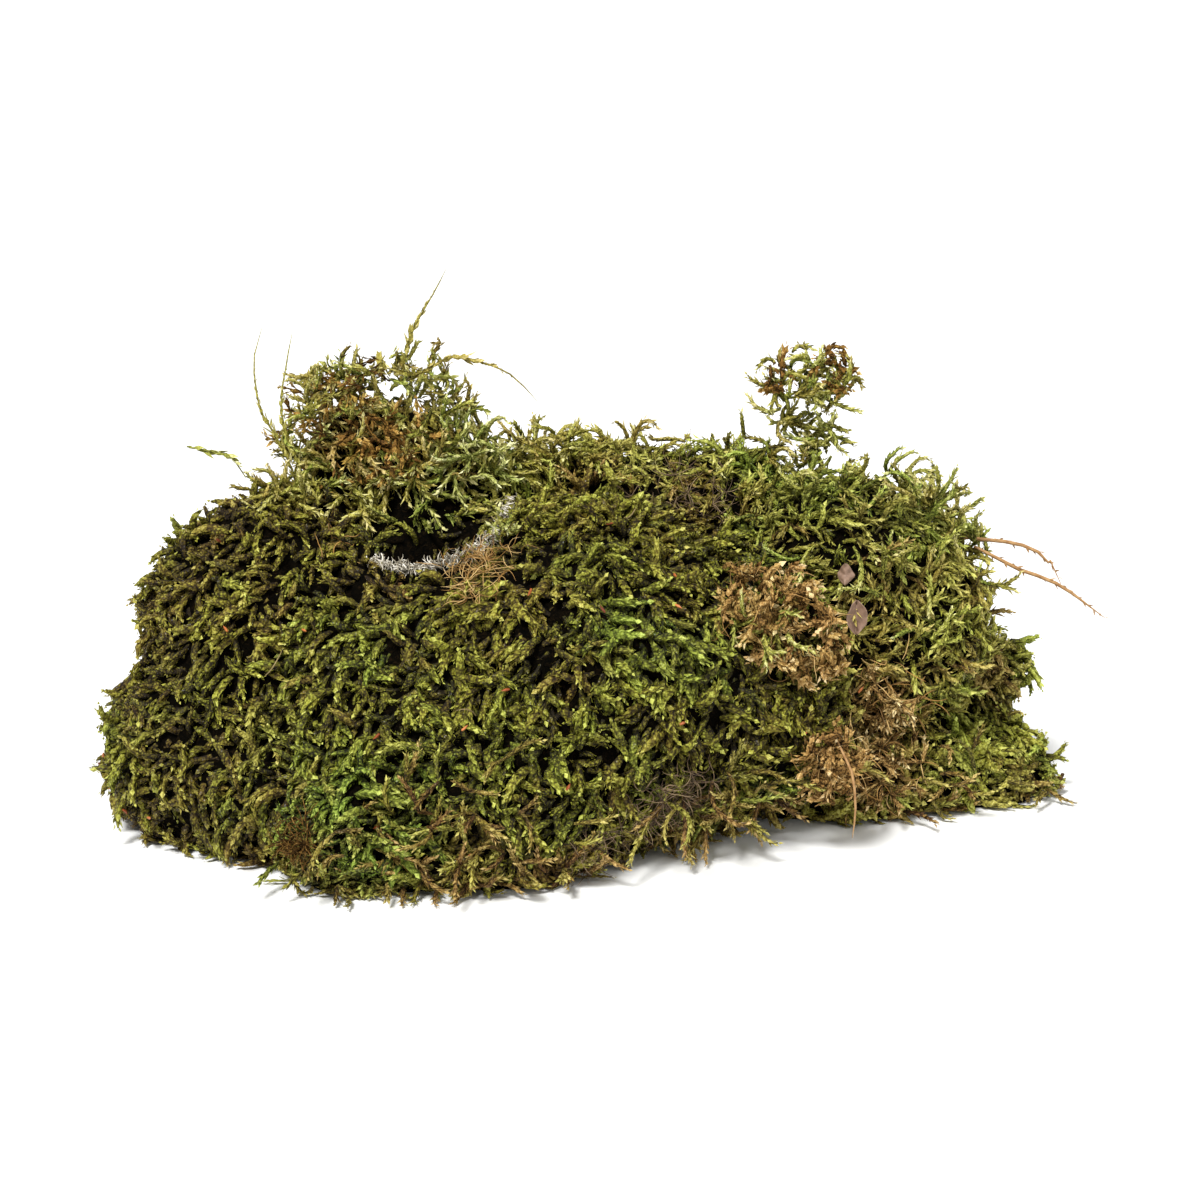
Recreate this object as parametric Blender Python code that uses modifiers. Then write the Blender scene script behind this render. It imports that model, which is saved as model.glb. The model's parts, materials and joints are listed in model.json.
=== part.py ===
"""Moss clump: a hummock of branched feather moss, lifted whole from the ground.

The clump is several moss mats grown against each other, with a hollow in the
top, tufts of dead brown moss, loose runners and two dry leaf flakes caught in it.
Each solid here is the outer form of one of those pieces, out to the shoot tips.

Axes: +X to the right, +Y to the back, +Z up. The origin is on the flat
underside, on the surface the clump rests on. Run with:

    blender --background --python part.py
"""

import math

import bmesh
import bpy
from mathutils import Vector

MM = 0.001

# Driving dimensions, in millimetres.
GAP = 0.45                 # clearance between neighbouring pieces
VOXEL = 9.1                # facet size of the large mats
COARSE_VOXEL = 10.0        # facet size of the mat at the back
SMALL_VOXEL = 6.0          # facet size of the small mats
FINE_VOXEL = 4.0           # facet size of the tufts
SLIVER = 0.03              # edges shorter than this are closed up after a cut
RELAX = 4                  # smoothing passes that round a mat's lumps
BUMP_DEPTH = 3.6           # how far the swells of a mat stand out
BUMP_SIZE = 17.0           # distance from swell to swell
GROUND_SIZE = (320.0, 260.0, 60.0)
HOLLOW_CENTRE = (-36.0, -11.0, 67.0)
HOLLOW_RADII = (15.5, 12.5, 20.0)
RIM_THICKNESS = 3.2        # the felted fibre edge along the hollow's front
RIM_HEIGHT = 63.0          # its middle above the ground
RIM_RISE = 6.0             # how much it climbs at its right end
RUNNER_THICKNESS = 1.3     # a thin runner with its pressed leaves
TWIG_THICKNESS = 1.6       # a bare brown stem
FLAKE_THICKNESS = 0.5      # a dry leaf flake

# Colour, roughness and metallic value of each finish.
FINISHES = {
    "shoot_green": ((0.13, 0.19, 0.02), 0.55, 0.0),
    "shoot_olive": ((0.17, 0.17, 0.03), 0.60, 0.0),
    "shoot_bright": ((0.10, 0.22, 0.02), 0.50, 0.0),
    "dead_brown": ((0.20, 0.10, 0.04), 0.80, 0.0),
    "pale_fibre": ((0.62, 0.58, 0.48), 0.85, 0.0),
    "runner_green": ((0.20, 0.22, 0.05), 0.60, 0.0),
    "twig_brown": ((0.24, 0.13, 0.06), 0.70, 0.0),
    "dry_leaf": ((0.36, 0.20, 0.14), 0.75, 0.0),
}

# Each mat is a few rounded lumps grown together: centre, then radii.
# A mat yields to the mats that stand before it in this list.
MATS = {
    "front_mat": ("shoot_green", VOXEL, [
        ((-40, -8, 21), (40, 43, 45)),
        ((-3, -8, 35), (42, 46, 41)),
        ((27, -2, 32), (32, 33, 34)),
        ((-28, -35, 13), (38, 29, 21)),
        ((31, -14, 28), (31, 25, 23)),
    ]),
    "left_mat": ("shoot_olive", VOXEL, [
        ((-82, -2, 16), (34, 40, 26)),
        ((-75, 4, 45), (32, 33, 31)),
        ((-66, -28, 14), (26, 22, 18)),
    ]),
    "front_cushion": ("shoot_bright", SMALL_VOXEL, [
        ((-50, -48, 12), (22, 15, 18)),
    ]),
    "right_mat": ("shoot_bright", VOXEL, [
        ((54, 6, 48), (33, 28, 33)),
        ((72, 4, 43), (22, 22, 27)),
    ]),
    "crest_mat": ("shoot_green", VOXEL, [
        ((4, 22, 60), (30, 22, 25)),
        ((30, 22, 63), (24, 20, 23)),
        ((-13, 20, 67), (15, 12, 20)),
    ]),
    "back_flap": ("shoot_olive", SMALL_VOXEL, [
        ((-58, 16, 82), (15, 10, 22)),
        ((-42, 17, 86), (15, 9, 19)),
        ((-40, 12, 74), (19, 10, 14)),
        ((-25, 15, 73), (15, 9, 16)),
    ]),
    "base_mat": ("shoot_olive", VOXEL, [
        ((52, 2, 12), (32, 22, 18)),
        ((87, 10, 8), (26, 17, 14)),
    ]),
    "far_right_mat": ("shoot_green", SMALL_VOXEL, [
        ((88, 22, 27), (18, 15, 14)),
    ]),
    "rear_mat": ("shoot_green", COARSE_VOXEL, [
        ((-46, 32, 28), (38, 26, 34)),
        ((0, 34, 28), (36, 26, 34)),
        ((42, 30, 24), (34, 26, 28)),
    ]),
    "crest_tangle": ("shoot_olive", FINE_VOXEL, [
        ((47, 20, 93), (12, 7, 12)),
        ((50, 20, 83), (9, 7, 9)),
    ]),
    "brown_tuft": ("dead_brown", FINE_VOXEL, [
        ((34, -29, 55), (12, 8, 10)),
        ((43, -29, 47), (11, 7, 10)),
    ]),
    "lower_brown_tuft": ("dead_brown", FINE_VOXEL, [
        ((50, -32, 21), (7, 7, 10)),
    ]),
}

# Runners and stems: finish, thickness and the points they pass through, root first.
RUNNERS = {
    "tall_left_sprig": ("runner_green", RUNNER_THICKNESS, [
        (-68, 10, 74), (-71, 10, 82), (-75.7, 10, 90), (-76.8, 10, 103), (-74, 10, 111)]),
    "short_left_sprig": ("runner_green", RUNNER_THICKNESS, [
        (-66, 10, 74), (-70.5, 10, 86), (-70.9, 10, 95), (-67.6, 10, 110)]),
    "side_sprig": ("runner_green", RUNNER_THICKNESS, [
        (-74, 8, 68), (-79, 7, 76), (-82, 6, 81), (-86, 5, 82)]),
    "peak_runner": ("runner_green", RUNNER_THICKNESS, [
        (-44, 16, 92), (-43.5, 16, 102), (-41.3, 15, 109), (-37.3, 15, 115.5), (-34.2, 15, 121.5)]),
    "arching_runner": ("runner_green", RUNNER_THICKNESS, [
        (-42, 14, 96), (-34, 13, 102), (-27, 12, 101), (-20, 11, 98.5), (-14, 10, 92.5)]),
    "right_twig": ("twig_brown", TWIG_THICKNESS, [
        (80, 6, 59), (86, 4, 59.5), (94, 3, 55.5), (102, 1, 53), (113, 0, 45.2)]),
    "right_hair_runner": ("twig_brown", 1.0, [
        (80, 8, 62), (87, 7, 61.5), (95, 6, 60.5), (101, 5, 57), (103.5, 4, 52)]),
    "hanging_rootlet": ("twig_brown", 1.0, [
        (51, -34, 26), (53.5, -39, 22), (54.5, -39.5, 14), (54, -39, 7)]),
}

# Dry leaf flakes: centre, length, width, turn about Z and tilt, in mm and degrees.
FLAKES = {
    "large_leaf_flake": ((55.1, -21.9, 51.4), 4.6, 7.4, 8.0, 80.0),
    "small_leaf_flake": ((53.0, -19.9, 60.4), 3.2, 4.4, -12.0, 76.0),
}


def clear_scene():
    """Removes every object that is already in the scene."""
    for thing in list(bpy.data.objects):
        bpy.data.objects.remove(thing, do_unlink=True)


def collection(name, hidden=False):
    """Returns a new collection in the scene."""
    group = bpy.data.collections.new(name)
    bpy.context.scene.collection.children.link(group)
    group.hide_render = hidden
    return group


def finish(name):
    """Returns the Principled material of one finish."""
    colour, roughness, metallic = FINISHES[name]
    material = bpy.data.materials.get(name) or bpy.data.materials.new(name)
    material.use_nodes = True
    shader = material.node_tree.nodes["Principled BSDF"]
    shader.inputs["Base Color"].default_value = (*colour, 1.0)
    shader.inputs["Roughness"].default_value = roughness
    shader.inputs["Metallic"].default_value = metallic
    material.diffuse_color = (*colour, 1.0)
    return material


def wear(thing, name):
    """Gives an object one finish."""
    thing.data.materials.clear()
    thing.data.materials.append(finish(name))


def link_new(name, mesh, group):
    """Puts a mesh in the scene as a named object."""
    thing = bpy.data.objects.new(name, mesh)
    group.objects.link(thing)
    return thing


def as_guide(thing):
    """Marks an object as a cutter or guide, which isn't part of the clump."""
    thing.hide_render = True
    thing.display_type = "WIRE"
    return thing


def lump_mesh(name, lumps):
    """A mesh of overlapping ellipsoids, one for each lump."""
    shape = bmesh.new()
    for centre, radii in lumps:
        made = bmesh.ops.create_icosphere(shape, subdivisions=4, radius=1.0)
        for vertex in made["verts"]:
            place = [c + r * v for c, r, v in zip(centre, radii, vertex.co)]
            vertex.co = Vector(place) * MM
    mesh = bpy.data.meshes.new(name)
    shape.to_mesh(mesh)
    shape.free()
    return mesh


def swells(name):
    """The soft noise that gives the mats their uneven swells."""
    texture = bpy.data.textures.get(name) or bpy.data.textures.new(name, "CLOUDS")
    texture.noise_scale = BUMP_SIZE * MM
    texture.noise_depth = 1
    return texture


def mat_form(name, lumps, voxel, group):
    """Grows the lumps into one rounded, uneven closed form."""
    form = link_new(f"{name}_form", lump_mesh(name, lumps), group)
    remesh = form.modifiers.new("grow_together", "REMESH")
    remesh.mode = "VOXEL"
    remesh.voxel_size = voxel * MM
    relax = form.modifiers.new("relax", "SMOOTH")
    relax.iterations = RELAX
    uneven = form.modifiers.new("uneven", "DISPLACE")
    uneven.texture = swells("mat_swells")
    uneven.texture_coords = "GLOBAL"
    uneven.strength = BUMP_DEPTH * MM
    form.modifiers.new("flat_faces", "TRIANGULATE")
    return baked(form, f"{name}_form", group)


def baked(thing, name, group):
    """Replaces an object by a plain mesh of what its modifiers make."""
    graph = bpy.context.evaluated_depsgraph_get()
    mesh = bpy.data.meshes.new_from_object(thing.evaluated_get(graph))
    place = thing.matrix_world.copy()
    bpy.data.objects.remove(thing, do_unlink=True)
    solid = link_new(name, mesh, group)
    solid.matrix_world = place
    return solid


def grown_copy(form, group):
    """A cutter: the form grown by the clearance."""
    cutter = as_guide(link_new(f"{form.name}_cutter", form.data.copy(), group))
    grow = cutter.modifiers.new("clearance", "DISPLACE")
    grow.mid_level = 0.0
    grow.strength = GAP * MM
    return baked_guide(cutter, group)


def baked_guide(cutter, group):
    """Applies a cutter's modifiers and keeps it marked as a guide."""
    return as_guide(baked(cutter, cutter.name, group))


def cut(thing, cutters):
    """Takes the space of all the cutters away from an object, in one step."""
    near = [cutter for cutter in cutters if boxes_meet(thing, cutter)]
    if not near:
        return
    group = bpy.data.collections.new(f"clear_of_{thing.name}")
    for cutter in near:
        group.objects.link(cutter)
    boolean = thing.modifiers.new("clear_of_neighbours", "BOOLEAN")
    boolean.operation = "DIFFERENCE"
    boolean.solver = "EXACT"
    boolean.operand_type = "COLLECTION"
    boolean.collection = group


def box_of(thing):
    """Lowest and highest corners of an object's own mesh."""
    places = [v.co for v in thing.data.vertices]
    low = Vector([min(p[i] for p in places) for i in range(3)])
    high = Vector([max(p[i] for p in places) for i in range(3)])
    return low, high


def boxes_meet(one, other):
    """Whether two objects' boxes overlap."""
    low_a, high_a = box_of(one)
    low_b, high_b = box_of(other)
    return all(low_a[i] < high_b[i] and low_b[i] < high_a[i] for i in range(3))


def islands(shape):
    """The connected groups of faces in a bmesh."""
    left = set(shape.faces)
    while left:
        found, queue = set(), [left.pop()]
        while queue:
            face = queue.pop()
            found.add(face)
            near = {f for e in face.edges for f in e.link_faces} & left
            left -= near
            queue.extend(near)
        yield found


def keep_main_body(thing, name, group):
    """Bakes an object and drops the crumbs that the cuts left beside it."""
    solid = baked(thing, name, group)
    shape = bmesh.new()
    shape.from_mesh(solid.data)
    bmesh.ops.remove_doubles(shape, verts=shape.verts, dist=SLIVER * MM)
    bmesh.ops.dissolve_degenerate(shape, dist=SLIVER * MM, edges=shape.edges)
    bmesh.ops.triangulate(shape, faces=shape.faces)
    groups = sorted(islands(shape), key=lambda g: sum(f.calc_area() for f in g))
    crumbs = [face for group_of_faces in groups[:-1] for face in group_of_faces]
    bmesh.ops.delete(shape, geom=crumbs, context="FACES")
    shape.to_mesh(solid.data)
    shape.free()
    return solid


def ground(group):
    """The slab that the clump rests on: it cuts every underside flat."""
    shape = bmesh.new()
    bmesh.ops.create_cube(shape, size=1.0)
    for vertex in shape.verts:
        vertex.co = Vector([s * c for s, c in zip(GROUND_SIZE, vertex.co)]) * MM
        vertex.co.z -= GROUND_SIZE[2] / 2 * MM
    mesh = bpy.data.meshes.new("ground")
    shape.to_mesh(mesh)
    shape.free()
    return as_guide(link_new("ground", mesh, group))


def hollow(group):
    """The pocket in the top of the clump."""
    mesh = lump_mesh("hollow", [(HOLLOW_CENTRE, HOLLOW_RADII)])
    return as_guide(link_new("hollow", mesh, group))


def build_mats(parts, cutters):
    """Makes every mat clear of the mats before it and flat on the ground."""
    slab = ground(cutters)
    pocket = hollow(cutters)
    before = []
    for name, (colour, voxel, lumps) in MATS.items():
        form = mat_form(name, lumps, voxel, cutters)
        cut(form, [pocket])
        form = baked(form, form.name, cutters)
        mat = link_new(name, form.data.copy(), parts)
        cut(mat, [*before, slab])
        wear(keep_main_body(mat, name, parts), colour)
        before.append(grown_copy(form, cutters))
        bpy.data.objects.remove(form, do_unlink=True)
    return before


def smooth_route(points, step):
    """Points a step apart on a smooth curve through the given points."""
    ends = [2 * Vector(points[0]) - Vector(points[1])]
    ends += [Vector(p) for p in points]
    ends += [2 * Vector(points[-1]) - Vector(points[-2])]
    route = [Vector(points[0])]
    for a, b, c, d in zip(ends, ends[1:], ends[2:], ends[3:]):
        count = max(1, round((c - b).length / step))
        for i in range(1, count + 1):
            t = i / count
            route.append(0.5 * (2 * b + (c - a) * t + (2 * a - 5 * b + 4 * c - d) * t * t
                                + (3 * b - a - 3 * c + d) * t ** 3))
    return route


def tube(name, points, thickness, group, step=4.0):
    """A round closed tube through the points, as a mesh."""
    curve = bpy.data.curves.new(name, "CURVE")
    curve.dimensions = "3D"
    curve.bevel_depth = thickness / 2 * MM
    curve.bevel_resolution = 1
    curve.use_fill_caps = True
    route = smooth_route(points, step)
    spline = curve.splines.new("POLY")
    spline.points.add(len(route) - 1)
    for point, place in zip(spline.points, route):
        point.co = (*(place * MM), 1.0)
    thing = link_new(f"{name}_curve", curve, group)
    solid = baked(thing, name, group)
    shape = bmesh.new()
    shape.from_mesh(solid.data)
    bmesh.ops.remove_doubles(shape, verts=shape.verts, dist=0.00001)
    bmesh.ops.recalc_face_normals(shape, faces=shape.faces)
    shape.to_mesh(solid.data)
    shape.free()
    return solid


def build_runners(parts, before):
    """Makes the runners, each cut off where it comes out of a mat."""
    for name, (colour, thickness, points) in RUNNERS.items():
        runner = tube(name, points, thickness, parts)
        cut(runner, before)
        wear(keep_main_body(runner, name, parts), colour)


def build_rim(parts, before):
    """The felted fibre edge along the front of the hollow."""
    cx, cy, _ = HOLLOW_CENTRE
    rx, ry, _ = HOLLOW_RADII
    points = []
    for degrees in range(185, 361, 25):
        turn = math.radians(degrees)
        lift = RIM_HEIGHT + RIM_RISE * max(0.0, math.cos(turn))
        points.append((cx + rx * math.cos(turn), cy + ry * math.sin(turn), lift))
    rim = tube("hollow_rim", points, RIM_THICKNESS, parts, step=5.0)
    cut(rim, before)
    wear(keep_main_body(rim, "hollow_rim", parts), "pale_fibre")


def build_flakes(parts):
    """The dry leaf flakes caught in the mat: thin curled plates."""
    for name, (centre, length, width, turn, tilt) in FLAKES.items():
        shape = bmesh.new()
        bmesh.ops.create_grid(shape, x_segments=4, y_segments=3, size=0.5)
        for vertex in shape.verts:
            x, y = vertex.co.x, vertex.co.y
            narrow = math.sqrt(max(0.06, 1.0 - (1.9 * x) ** 2))
            vertex.co = Vector((x * length, y * width * narrow, 1.2 * (2 * y) ** 2)) * MM
        mesh = bpy.data.meshes.new(name)
        shape.to_mesh(mesh)
        shape.free()
        flake = link_new(name, mesh, parts)
        flake.location = Vector(centre) * MM
        flake.rotation_euler = (math.radians(tilt), 0.0, math.radians(turn))
        shell = flake.modifiers.new("thickness", "SOLIDIFY")
        shell.thickness = FLAKE_THICKNESS * MM
        shell.offset = 0.0
        wear(flake, "dry_leaf")


def main():
    """Builds the clump."""
    clear_scene()
    parts = collection("moss_clump")
    cutters = collection("cutters", hidden=True)
    before = build_mats(parts, cutters)
    build_rim(parts, before)
    build_runners(parts, before)
    build_flakes(parts)


main()
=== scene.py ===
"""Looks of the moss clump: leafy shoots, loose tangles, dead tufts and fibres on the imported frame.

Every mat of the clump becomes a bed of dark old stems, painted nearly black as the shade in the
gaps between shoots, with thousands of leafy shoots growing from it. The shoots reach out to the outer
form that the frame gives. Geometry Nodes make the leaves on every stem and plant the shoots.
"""

import json
import logging
import math
from dataclasses import dataclass, field
from enum import Enum
from typing import Iterable, Optional, Sequence

import bpy
import numpy as np
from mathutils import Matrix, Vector, noise
from mathutils.bvhtree import BVHTree

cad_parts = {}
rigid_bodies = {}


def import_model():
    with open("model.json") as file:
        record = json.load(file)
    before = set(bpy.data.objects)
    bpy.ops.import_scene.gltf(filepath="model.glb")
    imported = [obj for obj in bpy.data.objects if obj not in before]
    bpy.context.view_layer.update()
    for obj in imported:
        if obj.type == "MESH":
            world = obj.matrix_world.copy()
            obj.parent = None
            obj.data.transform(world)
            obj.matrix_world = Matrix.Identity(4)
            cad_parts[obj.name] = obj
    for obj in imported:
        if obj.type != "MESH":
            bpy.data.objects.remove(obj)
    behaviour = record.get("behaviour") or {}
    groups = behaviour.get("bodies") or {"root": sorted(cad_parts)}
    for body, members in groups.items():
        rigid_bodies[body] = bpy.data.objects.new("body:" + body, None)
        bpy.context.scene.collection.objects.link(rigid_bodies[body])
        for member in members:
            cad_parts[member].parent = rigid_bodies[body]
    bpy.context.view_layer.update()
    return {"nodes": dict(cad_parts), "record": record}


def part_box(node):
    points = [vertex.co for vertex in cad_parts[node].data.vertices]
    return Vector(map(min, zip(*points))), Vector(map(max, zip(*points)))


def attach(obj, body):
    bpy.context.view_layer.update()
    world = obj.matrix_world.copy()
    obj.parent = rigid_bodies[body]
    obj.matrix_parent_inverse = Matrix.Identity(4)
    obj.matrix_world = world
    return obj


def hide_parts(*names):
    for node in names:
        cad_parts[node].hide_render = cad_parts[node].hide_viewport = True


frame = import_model()

LOG = logging.getLogger("moss_clump")
MM = 0.001
NOISE_SEED = 11  # without it the noise would start from the clock
BODY = "root"
SAME_PLACE = 0.001          # points whose places round to the same step of this, in mm, count as level

PRESSED = 1.2 * MM          # below this height, shoots are pressed flat on the ground
PRESS_DEPTH = 2.2 * MM      # how gently they are

Array = np.ndarray


# ---------------------------------------------------------------- small tools

def linear(code: str) -> tuple[float, float, float, float]:
    """Turns an sRGB hex colour into linear values.

    Args:
        code: The colour as "rrggbb".

    Returns:
        Linear red, green, blue and an alpha of 1.
    """
    parts = [int(code[i:i + 2], 16) / 255 for i in (0, 2, 4)]
    red, green, blue = (p / 12.92 if p <= 0.04045 else ((p + 0.055) / 1.055) ** 2.4 for p in parts)
    return red, green, blue, 1.0


def plug(tree: bpy.types.NodeTree, node: bpy.types.Node, inputs: dict) -> None:
    """Gives a node its input values and links.

    Args:
        tree: The tree that the node is in.
        node: The node.
        inputs: Values or source sockets, by input name or index.
    """
    for key, value in inputs.items():
        socket = node.inputs[key]
        if isinstance(value, bpy.types.NodeSocket):
            tree.links.new(value, socket)
        else:
            socket.default_value = value


def add_node(tree: bpy.types.NodeTree, kind: str, inputs: Optional[dict] = None,
             **settings: object) -> bpy.types.Node:
    """Adds a node with its settings, values and links.

    Args:
        tree: The node tree to add to.
        kind: The node's type.
        inputs: Values or source sockets, by input name or index.
        **settings: The node's own properties.

    Returns:
        The new node.
    """
    node = tree.nodes.new(kind)
    for name, value in settings.items():
        setattr(node, name, value)
    plug(tree, node, inputs or {})
    return node


def unit(vectors: Array) -> Array:
    """Returns the vectors scaled to length 1."""
    return vectors / np.maximum(np.linalg.norm(vectors, axis=-1, keepdims=True), 1e-12)


def swirl(places: Array, size: float, shift: float = 0.0) -> Array:
    """Smooth noise vectors at the places, each part from about -1 to 1.

    Args:
        places: Points, in metres.
        size: Distance over which the noise changes, in metres.
        shift: Moves to another stretch of the noise.

    Returns:
        One vector for each place.
    """
    offset = Vector((shift, 2 * shift, -shift))
    return np.array([noise.noise_vector(Vector(p) / size + offset) for p in places])


def patchiness(places: Array, size: float, shift: float = 0.0) -> Array:
    """Smooth noise from 0 to 1 at the places, with detail at half and quarter size.

    Args:
        places: Points, in metres.
        size: Distance over which the coarsest noise changes, in metres.
        shift: Moves to another stretch of the noise.

    Returns:
        One number for each place.
    """
    offset = Vector((shift, -shift, 3 * shift))
    found = [noise.fractal(Vector(p) / size + offset, 0.8, 2.0, 3) for p in places]
    return np.clip(0.5 + 0.5 * np.array(found), 0.0, 1.0)


def mesh_of(name: str, points: Array, faces: Sequence, edges: Sequence = ()) -> bpy.types.Mesh:
    """Makes a mesh from points and faces or edges.

    Args:
        name: The mesh's name.
        points: Its points, in metres.
        faces: The point numbers of each face.
        edges: The point numbers of each edge, where there are no faces.

    Returns:
        The mesh.
    """
    mesh = bpy.data.meshes.new(name)
    mesh.from_pydata([tuple(p) for p in points], list(edges), list(faces))
    return mesh


def show(name: str, mesh: bpy.types.Mesh) -> bpy.types.Object:
    """Puts a mesh in the scene as an object at the origin.

    Args:
        name: The object's name.
        mesh: Its mesh.

    Returns:
        The object.
    """
    thing = bpy.data.objects.new(name, mesh)
    bpy.context.scene.collection.objects.link(thing)
    return thing


def corners(mesh: bpy.types.Mesh) -> Array:
    """Reads a mesh's points.

    Args:
        mesh: Any mesh.

    Returns:
        One row for each point, in metres.
    """
    found = np.empty(len(mesh.vertices) * 3, np.float64)
    mesh.vertices.foreach_get("co", found)
    return found.reshape(-1, 3)


def normals(mesh: bpy.types.Mesh) -> Array:
    """Finds the direction that a mesh faces at each point, in sums whose order is the same on every run.

    Args:
        mesh: Any mesh.

    Returns:
        One unit vector for each point.
    """
    place = corners(mesh)
    mesh.calc_loop_triangles()
    thirds = np.empty(len(mesh.loop_triangles) * 3, np.int32)
    mesh.loop_triangles.foreach_get("vertices", thirds)
    thirds = thirds.reshape(-1, 3)
    thirds = thirds[np.lexsort(thirds.T)]
    a, b, c = (place[thirds[:, i]] for i in range(3))
    way = np.cross(b - a, c - a)
    total = np.zeros_like(place)
    for i in range(3):
        np.add.at(total, thirds[:, i], way)
    return unit(total)


def put_corners(mesh: bpy.types.Mesh, places: Array) -> None:
    """Moves a mesh's points to new places."""
    mesh.vertices.foreach_set("co", np.ascontiguousarray(places, np.float32).ravel())
    mesh.update()


def write_values(mesh: bpy.types.Mesh, name: str, values: Array, domain: str = "POINT") -> None:
    """Stores one number, truth value or vector for each point or face of a mesh.

    Args:
        mesh: The mesh to store them on.
        name: The attribute's name.
        values: The values, in the order of the mesh's points or faces.
        domain: "POINT" or "FACE".
    """
    if values.dtype == bool:
        layer = mesh.attributes.new(name, "BOOLEAN", domain)
        layer.data.foreach_set("value", values)
    elif values.ndim == 2:
        layer = mesh.attributes.new(name, "FLOAT_VECTOR", domain)
        layer.data.foreach_set("vector", np.ascontiguousarray(values, np.float32).ravel())
    else:
        layer = mesh.attributes.new(name, "FLOAT", domain)
        layer.data.foreach_set("value", np.ascontiguousarray(values, np.float32))


def plain_copy(thing: bpy.types.Object) -> bpy.types.Mesh:
    """Takes an object's mesh as its modifiers leave it, and removes the object.

    Args:
        thing: A work object with modifiers.

    Returns:
        A new mesh, with nothing left live.
    """
    graph = bpy.context.evaluated_depsgraph_get()
    result = bpy.data.meshes.new_from_object(thing.evaluated_get(graph), depsgraph=graph)
    bpy.data.objects.remove(thing)
    return result


def modified(mesh: bpy.types.Mesh, *steps: tuple[str, dict]) -> bpy.types.Mesh:
    """Runs modifiers on a mesh and returns the result as a plain mesh.

    Args:
        mesh: The mesh to start from.
        *steps: Modifier types with their settings, in order.

    Returns:
        A new mesh.
    """
    thing = show("work", mesh)
    for kind, settings in steps:
        modifier = thing.modifiers.new(kind.lower(), kind)
        for name, value in settings.items():
            setattr(modifier, name, value)
    return plain_copy(thing)


def grown(mesh: bpy.types.Mesh, tree: bpy.types.NodeTree, values: dict) -> bpy.types.Mesh:
    """Runs a Geometry Nodes tree on a mesh and returns the result as a plain mesh.

    Args:
        mesh: The mesh that the tree works on.
        tree: The node tree.
        values: The tree's inputs, by name.

    Returns:
        A new mesh, with nothing left live.
    """
    thing = show("work", mesh)
    modifier = thing.modifiers.new("grow", "NODES")
    modifier.node_group = tree
    sockets = {s.name: s.identifier for s in tree.interface.items_tree if s.in_out == "INPUT"}
    for name, value in values.items():
        modifier[sockets[name]] = value
    return plain_copy(thing)


def in_order(mesh: bpy.types.Mesh) -> bpy.types.Mesh:
    """Rebuilds a mesh with its points and faces in an order that is the same on every run.

    Args:
        mesh: A mesh whose order may differ from run to run, as after a cut.

    Returns:
        A new mesh of the same shape.
    """
    place = corners(mesh)
    keys = np.round(place / (SAME_PLACE * MM)).astype(np.int64)
    order = np.lexsort(keys.T[::-1])
    rank = np.empty(len(order), int)
    rank[order] = np.arange(len(order))
    faces = []
    for face in mesh.polygons:
        ring = [int(rank[i]) for i in face.vertices]
        first = ring.index(min(ring))
        faces.append(tuple(ring[first:] + ring[:first]))
    return mesh_of(mesh.name, place[order], sorted(faces))


def smoothed(mesh: bpy.types.Mesh, passes: int) -> bpy.types.Mesh:
    """Evens out a mesh's surface, in sums whose order is the same on every run.

    Args:
        mesh: The mesh to smooth, in place.
        passes: How many times each point moves half way to the middle of its neighbours.

    Returns:
        The same mesh.
    """
    ends = np.sort(np.array([edge.vertices[:] for edge in mesh.edges]), axis=1)
    ends = ends[np.lexsort(ends.T)]
    place = corners(mesh)
    near = np.bincount(ends.ravel(), minlength=len(place))[:, None]
    for _ in range(passes):
        total = np.zeros_like(place)
        np.add.at(total, ends[:, 0], place[ends[:, 1]])
        np.add.at(total, ends[:, 1], place[ends[:, 0]])
        place = (place + total / near) / 2
    put_corners(mesh, place)
    return mesh


def triangles(mesh: bpy.types.Mesh) -> int:
    """Counts a mesh's triangles."""
    mesh.calc_loop_triangles()
    return len(mesh.loop_triangles)


class Tally:
    """Keeps count of the triangles of every finished piece."""

    total: int = 0

    @classmethod
    def add(cls, name: str, mesh: bpy.types.Mesh) -> None:
        """Logs one piece and adds it to the total.

        Args:
            name: The piece's name.
            mesh: Its mesh.
        """
        count = triangles(mesh)
        cls.total += count
        LOG.info("%s: %d triangles", name, count)


def settle(mesh: bpy.types.Mesh) -> None:
    """Presses flat on the ground what would reach into it, without closing up any face.

    Args:
        mesh: The mesh of the shoots or stems, in place.
    """
    place = corners(mesh)
    height = place[:, 2]
    pressed = PRESSED * np.exp((height - PRESSED) / PRESS_DEPTH)
    place[:, 2] = np.where(height < PRESSED, pressed, height)
    put_corners(mesh, place)


def finish_piece(name: str, mesh: bpy.types.Mesh, material: bpy.types.Material,
                 nodes: Iterable[str]) -> bpy.types.Object:
    """Dresses a finished mesh and ties it to the frame.

    Args:
        name: The piece's name.
        mesh: Its mesh, in place.
        material: Its finish.
        nodes: The frame's nodes that it stands for.

    Returns:
        The piece.
    """
    mesh.materials.clear()
    mesh.materials.append(material)
    piece = show(name, mesh)
    piece.data.name = name
    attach(piece, BODY)
    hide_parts(*nodes)
    Tally.add(name, mesh)
    return piece


# ---------------------------------------------------------------- finishes

def graded(ramp: bpy.types.Node, stops: Sequence[tuple[float, str]]) -> bpy.types.NodeSocket:
    """Sets the colours of a colour ramp.

    Args:
        ramp: The colour ramp node.
        stops: The place from 0 to 1 and the hex colour of each stop.

    Returns:
        The ramp's colour.
    """
    elements = ramp.color_ramp.elements
    while len(elements) < len(stops):
        elements.new(0.5)
    for element, (place, code) in zip(elements, stops):
        element.position = place
        element.color = linear(code)
    return ramp.outputs["Color"]


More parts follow.
